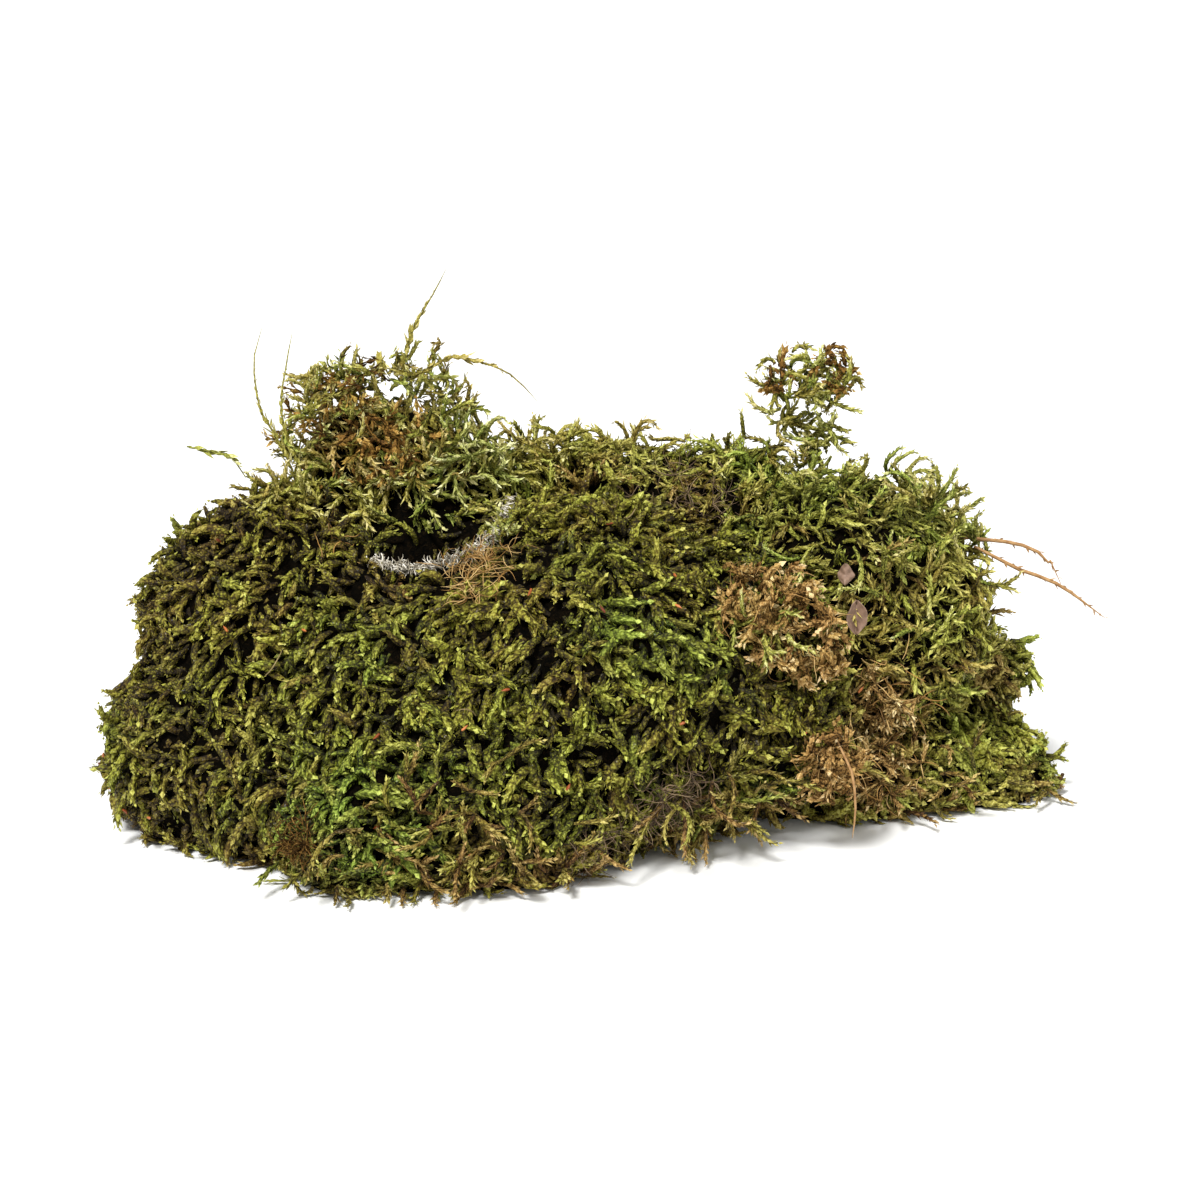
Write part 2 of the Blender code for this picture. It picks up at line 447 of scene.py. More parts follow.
def new_surface(name: str) -> tuple[bpy.types.Material, bpy.types.NodeTree, bpy.types.Node]:
    """Starts a material.

    Args:
        name: The material's name.

    Returns:
        The material, its tree and its Principled shader.
    """
    material = bpy.data.materials.new(name)
    material.use_nodes = True
    tree = material.node_tree
    return material, tree, tree.nodes["Principled BSDF"]


@dataclass(frozen=True)
class LeafFinish:
    """Moss leaf tissue: one cell thick, moist-looking and slightly waxy.

    The colour runs from the old base of a shoot, darker for its age and with painted shade, to its fresh
    tip, differs from shoot to shoot, and turns brown where the moss has died. Small glints come from the
    crimped bump and the gloss, helped by painted highlights on leaf tips, scale middles and the cell
    pattern, over a deep, mottled green with painted shade between the scales.
    """

    name: str
    living: tuple[str, str, str, str] = ("1c1405", "584f14", "949230", "c2c25e")
    fresh: tuple[str, str, str, str] = ("1a2007", "4e6016", "849a38", "b2c65c")
    dead: tuple[str, str, str, str] = ("241409", "5a3c1c", "92703c", "c4a468")
    roughness: float = 0.40
    gloss: float = 0.30
    lift: float = 0.0
    patch_mm: float = 16.0
    leaf_mm: float = 0.85
    cell_mm: float = 0.55
    crimp_mm: float = 0.28

    def material(self) -> bpy.types.Material:
        """Builds the leaf material.

        Returns:
            A material that reads tone, along, leaf, dry, fresh, blade, run and rim from the mesh.
        """
        material, tree, shader = new_surface(self.name)
        tone, along, leaf, dry, fresh, blade, run = (
            add_node(tree, "ShaderNodeAttribute", attribute_name=name).outputs["Fac"]
            for name in ("tone", "along", "leaf", "dry", "fresh", "blade", "run"))
        rim = add_node(tree, "ShaderNodeAttribute", attribute_name="rim").outputs["Vector"]
        place = add_node(tree, "ShaderNodeTexCoord").outputs["Object"]
        patches = add_node(tree, "ShaderNodeTexNoise", {
            "Vector": place, "Scale": 1 / (self.patch_mm * MM), "Detail": 3.0}).outputs["Fac"]
        # Pressed leaves on the stem: rounded scales, about half a millimetre each, with painted light on
        # their middles and painted shade in the creases between them.
        wrap = add_node(tree, "ShaderNodeVectorMath", {
            0: rim, 1: (1.15, 1.15, 0.0)}, operation="MULTIPLY").outputs[0]
        length = add_node(tree, "ShaderNodeMath", {0: run, 1: 1 / (self.leaf_mm * MM)},
                          operation="MULTIPLY").outputs[0]
        height = add_node(tree, "ShaderNodeCombineXYZ", {"Z": length}).outputs[0]
        skin = add_node(tree, "ShaderNodeVectorMath", {0: wrap, 1: height}, operation="ADD").outputs[0]
        scales = add_node(tree, "ShaderNodeTexVoronoi", {"Vector": skin, "Scale": 1.15}).outputs["Distance"]
        shade = add_node(tree, "ShaderNodeMapRange", {
            "Value": scales, "From Min": 0.1, "From Max": 0.75,
            "To Min": 0.22, "To Max": -0.26}).outputs[0]
        # Cell rows and crimped edges on every leaf, drawn a little coarse so that they show; in the colour,
        # the middle of each cell is a painted glint and its edge painted shade.
        cells_and_painted_glints = add_node(tree, "ShaderNodeTexVoronoi", {
            "Vector": place, "Scale": 1 / (self.cell_mm * MM)}).outputs["Distance"]
        # Lightness: tone by shoot and by leaf, darker towards each shoot's base for its age and as painted
        # shade, a painted highlight towards each leaf tip, the painted light and shade of the scale and cell
        # patterns, and real patches.
        level = self.lift + 0.18
        for source, share in ((tone, 0.36), (leaf, 0.22), (along, 0.34), (blade, 0.14),
                              (shade, 1.0), (cells_and_painted_glints, -0.45), (patches, 0.22)):
            level = add_node(tree, "ShaderNodeMath", {0: source, 1: share, 2: level},
                             operation="MULTIPLY_ADD").outputs[0]
        stops = (0.12, 0.42, 0.70, 1.0)
        old, new, gone = (
            graded(add_node(tree, "ShaderNodeValToRGB", {"Fac": level}), list(zip(stops, codes)))
            for codes in (self.living, self.fresh, self.dead))
        green = add_node(tree, "ShaderNodeMix", {0: fresh, 6: old, 7: new}, data_type="RGBA").outputs[2]
        colour = add_node(tree, "ShaderNodeMix", {0: dry, 6: green, 7: gone}, data_type="RGBA").outputs[2]
        # The bare core between the leaves is dull, and the leaves have a slight waxy gloss.
        rough = add_node(tree, "ShaderNodeMapRange", {
            "Value": leaf, "From Max": 0.12, "To Min": 0.9, "To Max": self.roughness}).outputs["Result"]
        raised = add_node(tree, "ShaderNodeMath", {0: 1.6, 1: scales}, operation="SUBTRACT").outputs[0]
        crimped = add_node(tree, "ShaderNodeMath", {0: raised, 1: cells_and_painted_glints}, operation="SUBTRACT").outputs[0]
        bump = add_node(tree, "ShaderNodeBump", {
            "Height": crimped, "Strength": 1.0, "Distance": self.crimp_mm * MM}).outputs["Normal"]
        plug(tree, shader, {"Base Color": colour, "Roughness": rough, "Normal": bump,
                            "Specular IOR Level": self.gloss})
        return material


@dataclass(frozen=True)
class BedAndPaintedShadeFinish:
    """Packed old stems and humus, dark in themselves and painted nearly black and matt as the shade in the
    gaps between shoots, so that they look deep.
    """

    name: str = "old_stems_and_painted_gap_shade"
    dark: str = "020201"
    middle: str = "090602"
    light: str = "20160a"
    fibre_mm: float = 1.1
    bump_mm: float = 0.8

    def material(self) -> bpy.types.Material:
        """Builds the bed material.

        Returns:
            The material.
        """
        material, tree, shader = new_surface(self.name)
        place = add_node(tree, "ShaderNodeTexCoord").outputs["Object"]
        fibres = add_node(tree, "ShaderNodeTexNoise", {
            "Vector": place, "Scale": 1 / (self.fibre_mm * MM), "Detail": 4.0,
            "Distortion": 1.5}).outputs["Fac"]
        colour = graded(add_node(tree, "ShaderNodeValToRGB", {"Fac": fibres}),
                        ((0.35, self.dark), (0.55, self.middle), (0.8, self.light)))
        bump = add_node(tree, "ShaderNodeBump", {
            "Height": fibres, "Strength": 1.0, "Distance": self.bump_mm * MM}).outputs["Normal"]
        plug(tree, shader, {"Base Color": colour, "Roughness": 1.0, "Specular IOR Level": 0.05,
                            "Normal": bump})
        return material


@dataclass(frozen=True)
class FibreFinish:
    """Dry plant fibre: matt, with paler and darker strands that read as many separate threads."""

    name: str
    dark: str
    middle: str
    light: str
    roughness: float = 0.75
    grain_mm: float = 1.3
    bump_mm: float = 0.15

    def material(self) -> bpy.types.Material:
        """Builds the fibre material.

        Returns:
            A material that reads tone from the mesh.
        """
        material, tree, shader = new_surface(self.name)
        tone = add_node(tree, "ShaderNodeAttribute", attribute_name="tone").outputs["Fac"]
        place = add_node(tree, "ShaderNodeTexCoord").outputs["Object"]
        grain = add_node(tree, "ShaderNodeTexNoise", {
            "Vector": place, "Scale": 1 / (self.grain_mm * MM), "Detail": 2.0}).outputs["Fac"]
        by_strand = add_node(tree, "ShaderNodeMath", {0: tone, 1: 0.75}, operation="MULTIPLY").outputs[0]
        level = add_node(tree, "ShaderNodeMath", {0: grain, 1: 0.5, 2: by_strand},
                         operation="MULTIPLY_ADD").outputs[0]
        colour = graded(add_node(tree, "ShaderNodeValToRGB", {"Fac": level}),
                        ((0.2, self.dark), (0.6, self.middle), (0.95, self.light)))
        bump = add_node(tree, "ShaderNodeBump", {
            "Height": grain, "Strength": 0.5, "Distance": self.bump_mm * MM}).outputs["Normal"]
        plug(tree, shader, {"Base Color": colour, "Roughness": self.roughness, "Normal": bump})
        return material


# ---------------------------------------------------------------- node trees

def new_tree(name: str, sockets: Sequence[tuple[str, str]]) -> tuple[bpy.types.NodeTree, bpy.types.Node]:
    """Starts a Geometry Nodes tree with named inputs and one geometry output.

    Args:
        name: The tree's name.
        sockets: The name and type of each input.

    Returns:
        The tree and its input node.
    """
    tree = bpy.data.node_groups.new(name, "GeometryNodeTree")
    for label, kind in sockets:
        tree.interface.new_socket(label, in_out="INPUT", socket_type=f"NodeSocket{kind}")
    tree.interface.new_socket("Geometry", in_out="OUTPUT", socket_type="NodeSocketGeometry")
    return tree, add_node(tree, "NodeGroupInput")


def shaped(curve: bpy.types.Node, points: Sequence[tuple[float, float]]) -> bpy.types.NodeSocket:
    """Sets the points of a float curve.

    Args:
        curve: The float curve node.
        points: Its first point, its last point, and then those between.

    Returns:
        The curve's value.
    """
    line = curve.mapping.curves[0]
    line.points[0].location, line.points[1].location = points[:2]
    for place in points[2:]:
        line.points.new(*place)
    curve.mapping.update()
    return curve.outputs[0]


def leafy_stem_tree() -> bpy.types.NodeTree:
    """Builds the tree that turns lines into leafy stems.

    A thin tapered core follows each line, and leaves sit on it in a spiral, each
    leaning out from the stem and pointing to its tip.

    Returns:
        The node tree.
    """
    tree, given = new_tree("leafy_stem", (
        ("Geometry", "Geometry"), ("Leaf", "Object"), ("Leaf Spacing", "Float"), ("Leaf Size", "Float"),
        ("Leaf Lean", "Float"), ("Leaf Turn", "Float"), ("Tip Leaf", "Float"), ("Stem Radius", "Float"),
        ("Stem Sides", "Int"), ("Unevenness", "Float"), ("Seed", "Int"), ("Material", "Material")))
    want = given.outputs
    lines = add_node(tree, "GeometryNodeMeshToCurve", {"Mesh": want["Geometry"]})
    # How far along its stem each point lies; it shapes the stem, and the leaf finish darkens towards the base
    # with it, partly for age and partly as painted shade.
    along = add_node(tree, "GeometryNodeSplineParameter").outputs["Factor"]
    marked = add_node(tree, "GeometryNodeStoreNamedAttribute", {
        "Geometry": lines.outputs[0], "Name": "along", "Value": along}, data_type="FLOAT", domain="POINT")
    run = add_node(tree, "GeometryNodeSplineParameter").outputs["Length"]
    marked = add_node(tree, "GeometryNodeStoreNamedAttribute", {
        "Geometry": marked.outputs[0], "Name": "run", "Value": run}, data_type="FLOAT", domain="POINT")
    here = add_node(tree, "GeometryNodeInputNamedAttribute", {"Name": "along"}, data_type="FLOAT")
    here_along = here.outputs["Attribute"]

    # The core, thick at the root and pointed at the tip.
    body = shaped(add_node(tree, "ShaderNodeFloatCurve", {"Value": here_along}),
                  ((0.0, 0.7), (1.0, 0.16), (0.35, 1.0), (0.8, 0.72)))
    radius = add_node(tree, "ShaderNodeMath", {0: body, 1: want["Stem Radius"]},
                      operation="MULTIPLY").outputs[0]
    ring = add_node(tree, "GeometryNodeCurvePrimitiveCircle", {
        "Resolution": want["Stem Sides"], "Radius": 1.0})
    edge = add_node(tree, "GeometryNodeStoreNamedAttribute", {
        "Geometry": ring.outputs["Curve"], "Name": "rim",
        "Value": add_node(tree, "GeometryNodeInputPosition").outputs[0]},
        data_type="FLOAT_VECTOR", domain="POINT")
    core = add_node(tree, "GeometryNodeCurveToMesh", {
        "Curve": marked.outputs[0], "Profile Curve": edge.outputs[0], "Scale": radius,
        "Fill Caps": True})
    core_leaf = add_node(tree, "GeometryNodeStoreNamedAttribute", {
        "Geometry": core.outputs[0], "Name": "leaf", "Value": 0.0}, data_type="FLOAT", domain="POINT")

    # The leaves, in a spiral.
    spots = add_node(tree, "GeometryNodeCurveToPoints", {
        "Curve": marked.outputs[0], "Length": want["Leaf Spacing"]}, mode="LENGTH")
    chance = add_node(tree, "FunctionNodeRandomValue", {"Seed": want["Seed"]}, data_type="FLOAT")
    lucky = chance.outputs[1]
    leafed = add_node(tree, "GeometryNodeStoreNamedAttribute", {
        "Geometry": spots.outputs["Points"], "Name": "leaf", "Value": lucky},
        data_type="FLOAT", domain="POINT")
    facing = add_node(tree, "FunctionNodeAxesToRotation", {
        "Primary Axis": spots.outputs["Tangent"], "Secondary Axis": spots.outputs["Normal"]},
        primary_axis="Z", secondary_axis="X")
    index = add_node(tree, "GeometryNodeInputIndex").outputs[0]
    wobble = add_node(tree, "FunctionNodeRandomValue", {"Seed": want["Seed"], 2: -0.5, 3: 0.5},
                      data_type="FLOAT").outputs[1]
    loose = add_node(tree, "ShaderNodeMath", {0: wobble, 1: want["Unevenness"]},
                     operation="MULTIPLY").outputs[0]
    turn = add_node(tree, "ShaderNodeMath", {0: index, 1: want["Leaf Turn"], 2: loose},
                    operation="MULTIPLY_ADD").outputs[0]
    around = add_node(tree, "FunctionNodeAxisAngleToRotation", {"Axis": (0, 0, 1), "Angle": turn})
    lean = add_node(tree, "ShaderNodeMath", {0: loose, 1: 0.35, 2: want["Leaf Lean"]},
                    operation="MULTIPLY_ADD").outputs[0]
    outward = add_node(tree, "FunctionNodeAxisAngleToRotation", {"Axis": (0, 1, 0), "Angle": lean})
    rolled = add_node(tree, "FunctionNodeRotateRotation", {
        0: facing.outputs[0], 1: around.outputs[0]}, rotation_space="LOCAL")
    leaned = add_node(tree, "FunctionNodeRotateRotation", {
        0: rolled.outputs[0], 1: outward.outputs[0]}, rotation_space="LOCAL")
    swell = shaped(add_node(tree, "ShaderNodeFloatCurve", {"Value": here_along}),
                   ((0.0, 0.62), (1.0, 0.55), (0.3, 1.0), (0.72, 0.95)))
    vary = add_node(tree, "ShaderNodeMath", {0: wobble, 1: 0.4, 2: 1.0}, operation="MULTIPLY_ADD").outputs[0]
    sized = add_node(tree, "ShaderNodeMath", {0: swell, 1: want["Leaf Size"]},
                     operation="MULTIPLY").outputs[0]
    thinning = add_node(tree, "ShaderNodeMapRange", {
        "Value": here_along, "From Min": 0.4, "From Max": 0.85, "To Min": 1.0, "To Max": want["Tip Leaf"]})
    thinned = add_node(tree, "ShaderNodeMath", {0: sized, 1: thinning.outputs["Result"]},
                       operation="MULTIPLY").outputs[0]
    varied = add_node(tree, "ShaderNodeMath", {0: thinned, 1: vary}, operation="MULTIPLY").outputs[0]
    leaf = add_node(tree, "GeometryNodeObjectInfo", {"Object": want["Leaf"]})
    leaves = add_node(tree, "GeometryNodeInstanceOnPoints", {
        "Points": leafed.outputs[0], "Instance": leaf.outputs["Geometry"],
        "Rotation": leaned.outputs[0], "Scale": varied})
    both = add_node(tree, "GeometryNodeJoinGeometry")
    tree.links.new(core_leaf.outputs[0], both.inputs[0])
    tree.links.new(leaves.outputs[0], both.inputs[0])
    plain = add_node(tree, "GeometryNodeRealizeInstances", {"Geometry": both.outputs[0]})
    dressed = add_node(tree, "GeometryNodeSetMaterial", {
        "Geometry": plain.outputs[0], "Material": want["Material"]})
    add_node(tree, "NodeGroupOutput", {0: dressed.outputs[0]})
    return tree


def planting_tree() -> bpy.types.NodeTree:
    """Builds the tree that plants shoots on a bed.

    The bed's points carry the direction that shoots are combed in (flow), how far
    they stand up (rise), how many grow (density), and their size, dryness and
    freshness. A bed face grows shoots only where its grows value is true.

    Returns:
        The node tree.
    """
    tree, given = new_tree("planting", (
        ("Geometry", "Geometry"), ("Shoots", "Collection"), ("Spacing", "Float"), ("Seed", "Int"),
        ("Untidiness", "Float"), ("Smallest", "Float"), ("Largest", "Float"),
        ("From X", "Float"), ("To X", "Float"), ("Ground Room", "Float"), ("Material", "Material")))
    want = given.outputs
    grows, density, flow, rise, size = (
        add_node(tree, "GeometryNodeInputNamedAttribute", {"Name": name}, data_type=kind).outputs["Attribute"]
        for name, kind in (("grows", "BOOLEAN"), ("density", "FLOAT"), ("flow", "FLOAT_VECTOR"),
                           ("rise", "FLOAT"), ("size", "FLOAT")))
    most = add_node(tree, "ShaderNodeMath", {0: want["Spacing"], 1: -2.0}, operation="POWER").outputs[0]
    many = add_node(tree, "ShaderNodeMath", {0: most, 1: 2.5}, operation="MULTIPLY").outputs[0]
    seats = add_node(tree, "GeometryNodeDistributePointsOnFaces", {
        "Mesh": want["Geometry"], "Selection": grows, "Distance Min": want["Spacing"],
        "Density Max": many, "Density Factor": density, "Seed": want["Seed"]},
        distribute_method="POISSON")
    place = add_node(tree, "ShaderNodeSeparateXYZ", {
        0: add_node(tree, "GeometryNodeInputPosition").outputs[0]}).outputs
    left_of = add_node(tree, "FunctionNodeCompare", {0: place["X"], 1: want["From X"]},
                       data_type="FLOAT", operation="LESS_THAN").outputs[0]
    right_of = add_node(tree, "FunctionNodeCompare", {0: place["X"], 1: want["To X"]},
                        data_type="FLOAT", operation="GREATER_EQUAL").outputs[0]
    outside = add_node(tree, "FunctionNodeBooleanMath", {0: left_of, 1: right_of}, operation="OR").outputs[0]
    kept = add_node(tree, "GeometryNodeDeleteGeometry", {
        "Geometry": seats.outputs["Points"], "Selection": outside}, domain="POINT")
    chance = add_node(tree, "FunctionNodeRandomValue", {"Seed": want["Seed"]}, data_type="FLOAT").outputs[1]
    toned = add_node(tree, "GeometryNodeStoreNamedAttribute", {
        "Geometry": kept.outputs[0], "Name": "tone", "Value": chance}, data_type="FLOAT", domain="POINT")

    # Which way each shoot points: combed, standing up by its rise, and untidy.
    facing = seats.outputs["Normal"]
    scatter = add_node(tree, "FunctionNodeRandomValue", {
        0: (-1, -1, -1), 1: (1, 1, 1), "Seed": want["Seed"]}, data_type="FLOAT_VECTOR").outputs[0]
    untidy = add_node(tree, "ShaderNodeVectorMath", {0: scatter, "Scale": want["Untidiness"]},
                      operation="SCALE").outputs[0]
    up = add_node(tree, "ShaderNodeVectorMath", {0: facing, "Scale": rise}, operation="SCALE").outputs[0]
    combed = add_node(tree, "ShaderNodeVectorMath", {0: flow, 1: up}, operation="ADD").outputs[0]
    loose = add_node(tree, "ShaderNodeVectorMath", {0: combed, 1: untidy}, operation="ADD").outputs[0]
    heading = add_node(tree, "ShaderNodeVectorMath", {0: loose}, operation="NORMALIZE").outputs[0]

    # Near the ground a shoot may only point as far down as there is room.
    parts = add_node(tree, "ShaderNodeSeparateXYZ", {0: heading}).outputs
    room = add_node(tree, "ShaderNodeMath", {0: place["Z"], 1: want["Ground Room"]},
                    operation="DIVIDE").outputs[0]
    lowest = add_node(tree, "ShaderNodeMath", {0: 0.06, 1: room}, operation="SUBTRACT").outputs[0]
    down = add_node(tree, "ShaderNodeMath", {0: parts["Z"], 1: lowest}, operation="MAXIMUM").outputs[0]
    aimed = add_node(tree, "ShaderNodeCombineXYZ", {"X": parts["X"], "Y": parts["Y"], "Z": down}).outputs[0]
    stance = add_node(tree, "FunctionNodeAxesToRotation", {
        "Primary Axis": aimed, "Secondary Axis": facing}, primary_axis="Z", secondary_axis="X")
    spin = add_node(tree, "FunctionNodeRandomValue", {2: -1.3, 3: 1.3, "Seed": want["Seed"]},
                    data_type="FLOAT").outputs[1]
    twist = add_node(tree, "FunctionNodeAxisAngleToRotation", {"Axis": (0, 0, 1), "Angle": spin})
    turned = add_node(tree, "FunctionNodeRotateRotation", {
        0: stance.outputs[0], 1: twist.outputs[0]}, rotation_space="LOCAL")
    length = add_node(tree, "FunctionNodeRandomValue", {
        2: want["Smallest"], 3: want["Largest"], "Seed": want["Seed"]}, data_type="FLOAT").outputs[1]
    scale = add_node(tree, "ShaderNodeMath", {0: length, 1: size}, operation="MULTIPLY").outputs[0]

    shoots = add_node(tree, "GeometryNodeCollectionInfo", {
        "Collection": want["Shoots"], "Separate Children": True, "Reset Children": True})
    planted = add_node(tree, "GeometryNodeInstanceOnPoints", {
        "Points": toned.outputs[0], "Instance": shoots.outputs[0], "Pick Instance": True,
        "Rotation": turned.outputs[0], "Scale": scale})
    plain = add_node(tree, "GeometryNodeRealizeInstances", {"Geometry": planted.outputs[0]})
    dressed = add_node(tree, "GeometryNodeSetMaterial", {
        "Geometry": plain.outputs[0], "Material": want["Material"]})
    add_node(tree, "NodeGroupOutput", {0: dressed.outputs[0]})
    return tree


# ---------------------------------------------------------------- stems and shoots

def folded_leaf(name: str, width: float, keel: float, seat: float) -> bpy.types.Object:
    """Makes one moss leaf, a unit long: a pointed blade with its keel to the outside.

    Args:
        name: The leaf's name.
        width: Its width, as a share of its length.
        keel: How far its keel stands out, as a share of its length.
        seat: How far its foot sits from the middle of the stem, as a share of its length.

    Returns:
        A closed four-sided leaf that points along Z with its keel to X.
    """
    half = width / 2
    widest = 0.42
    points = np.array([(seat, 0, 0), (seat - keel, -half, widest), (seat - keel, half, widest),
                       (seat - 0.03, 0, 1)])
    thing = show(name, mesh_of(name, points, ((0, 3, 1), (0, 2, 3), (0, 1, 2), (1, 3, 2))))
    # From the leaf's foot to its tip; the leaf finish lightens the tip with it as a painted highlight.
    write_values(thing.data, "blade", np.array([0.0, 0.35, 0.35, 1.0]))
    return thing


@dataclass(frozen=True)
class StemHabit:
    """How a kind of stem carries its leaves. Lengths are in millimetres, angles in degrees."""

    spacing: float = 0.42
    leaf: float = 1.55
    lean: float = 24.0
    turn: float = 144.0
    core: float = 0.42
    sides: int = 3
    unevenness: float = 0.7
    tip: float = 1.0
    broad: bool = False

    def values(self, leaf: bpy.types.Object, material: bpy.types.Material, seed: int) -> dict:
        """Turns the habit into the inputs of the leafy stem tree.

        Args:
            leaf: The pattern of leaf.
            material: The finish.
            seed: Where the tree's random values start.

        Returns:
            The inputs, by name.
        """
        return {
            "Leaf": leaf, "Leaf Spacing": self.spacing * MM, "Leaf Size": self.leaf * MM,
            "Leaf Lean": math.radians(self.lean), "Leaf Turn": math.radians(self.turn),
            "Tip Leaf": self.tip, "Stem Radius": self.core * MM, "Stem Sides": self.sides,
            "Unevenness": self.unevenness, "Seed": seed, "Material": material}


class Habit(Enum):
    """The kinds of stem in the clump."""

    BRAIDED = StemHabit(spacing=0.60, leaf=1.48, lean=12.0, core=0.94, sides=3, unevenness=0.8, broad=True)
    LOOSE = StemHabit(spacing=0.58, leaf=1.9, lean=24.0, core=0.55, unevenness=1.0)
    RUNNER = StemHabit(spacing=0.75, leaf=2.9, lean=14.0, core=0.28, unevenness=2.0, tip=0.12)
    CRISPED = StemHabit(spacing=0.58, leaf=1.9, lean=20.0, core=0.52, sides=4, unevenness=1.8, broad=True)
    FROND = StemHabit(spacing=0.9, leaf=2.9, lean=26.0, core=0.26, unevenness=2.0, tip=0.6)
    BARE = StemHabit(spacing=50.0, leaf=0.6, lean=20.0, core=0.32, sides=5)
    TWIG = StemHabit(spacing=1.5, leaf=1.9, lean=36.0, core=0.46, sides=5, unevenness=2.4)
    FIBRE = StemHabit(spacing=50.0, leaf=0.3, core=0.13)
    HAIR = StemHabit(spacing=50.0, leaf=0.2, core=0.085)
    THICK_FIBRE = StemHabit(spacing=50.0, leaf=0.3, core=0.20)
    CHIP = StemHabit(spacing=50.0, leaf=0.3, core=0.36, sides=4)


@dataclass
class Lines:
    """Lines in space, each with its own tone and dryness, which become stems."""

    paths: list[Array] = field(default_factory=list)
    tones: list[float] = field(default_factory=list)
    dryness: list[float] = field(default_factory=list)
    freshness: list[float] = field(default_factory=list)

    def add(self, path: Array, tone: float, dry: float, fresh: float = 0.0) -> None:
        """Adds one line.

        Args:
            path: Its points, in metres.
            tone: Its place from 0, dark, to 1, light, among its neighbours.
            dry: From 0, alive, to 1, dead.
            fresh: From 0, old growth, to 1, this year's.
        """
        self.paths.append(np.asarray(path, float))
        self.tones.append(tone)
        self.dryness.append(dry)
        self.freshness.append(fresh)

    def mesh(self, name: str) -> bpy.types.Mesh:
        """Makes the lines a mesh of edges, with their values on the points.

        Args:
            name: The mesh's name.

        Returns:
            The mesh.
        """
        points, edges, start = [], [], 0
        for path in self.paths:
            points.extend(path)
            edges.extend((start + i, start + i + 1) for i in range(len(path) - 1))
            start += len(path)
        mesh = mesh_of(name, np.array(points), (), edges)
        counts = [len(p) for p in self.paths]
        for label, values in (("tone", self.tones), ("dry", self.dryness), ("fresh", self.freshness)):
            write_values(mesh, label, np.repeat(np.array(values, float), counts))
        return mesh

    def stems(self, name: str, kit: "StemKit", habit: Habit, material: bpy.types.Material,
              seed: int) -> bpy.types.Mesh:
        """Returns the lines grown into stems of one habit."""
        leaf = kit.broad if habit.value.broad else kit.narrow
        return grown(self.mesh(name), kit.tree, habit.value.values(leaf, material, seed))


@dataclass(frozen=True)
class StemKit:
    """What every stem is grown with: the node tree and the two patterns of leaf."""

    tree: bpy.types.NodeTree
    broad: bpy.types.Object
    narrow: bpy.types.Object


@dataclass
class ShootNursery:
    """Grows the patterns of shoot that are planted on the mats. Lengths in millimetres."""

    name: str
    habit: Habit
    count: int
    shortest: float
    longest: float
    least_bend: float
    most_bend: float
    seed: int
    points: int = 5

    def path(self, rng: np.random.Generator) -> Array:
        """Draws one curved line that starts at the origin along +Z and bends towards -X.

        Args:
            rng: Where its length, bend and sway are drawn from.

        Returns:
            Its points, in metres.
        """
        length = rng.uniform(self.shortest, self.longest) * MM
        bend = math.radians(rng.uniform(self.least_bend, self.most_bend))
        sway = rng.uniform(-0.9, 0.9)
        place, route = np.zeros(3), [np.zeros(3)]
        for i in range(self.points - 1):
            share = (i + 0.5) / (self.points - 1)
            angle = bend * share ** 1.4
            side = sway * math.sin(2.6 * share)
            step = unit(np.array([-math.sin(angle), side, math.cos(angle)]))
            place = place + step * length / (self.points - 1)
            route.append(place)
        return np.array(route)

    def grow(self, kit: StemKit, material: bpy.types.Material) -> bpy.types.Collection:
        """Grows the patterns.

        Args:
            kit: What stems are grown with.
            material: The finish of the leaves.

        Returns:
            A collection with one object for each pattern of shoot.
        """
        rng = np.random.default_rng(self.seed)
        group = bpy.data.collections.new(self.name)
        bpy.context.scene.collection.children.link(group)
        for i in range(self.count):
            lines = Lines()
            lines.add(self.path(rng), 0.0, 0.0)
            mesh = lines.stems(self.name, kit, self.habit, material, self.seed + i)
            for label in ("tone", "dry", "fresh"):
                mesh.attributes.remove(mesh.attributes[label])
            group.objects.link(bpy.data.objects.new(f"{self.name}_{i}", mesh))
        sizes = [triangles(o.data) for o in group.objects]
        LOG.info("%s: %d patterns of %d to %d triangles", self.name, self.count, min(sizes), max(sizes))
        return group


# ---------------------------------------------------------------- the bed

MAT_NODES = ("front_mat", "left_mat", "front_cushion", "right_mat", "crest_mat", "back_flap",
             "base_mat", "far_right_mat", "rear_mat")


def closed_copy(node: str) -> bpy.types.Mesh:
    """Returns a copy of a frame node's mesh with its loose triangles merged."""
    return modified(frame["nodes"][node].data.copy(), ("WELD", {"merge_threshold": 0.00001}))


def out_of_hollow(places: Array) -> Array:
    """Tells how far places are from the middle of the clump's hollow.

    Args:
        places: Points, in metres.

    Returns:
        For each place, less than 1 inside the hollow and more than 1 outside it.
    """
    low, high = np.array(frame["record"]["physics"]["openings"][0]["box_m"])
    middle = np.array([*((low + high) / 2)[:2], high[2]])
    radii = np.array([*((high - low) * 0.88)[:2], 20 * MM])
    return np.linalg.norm((places - middle) / radii, axis=1)


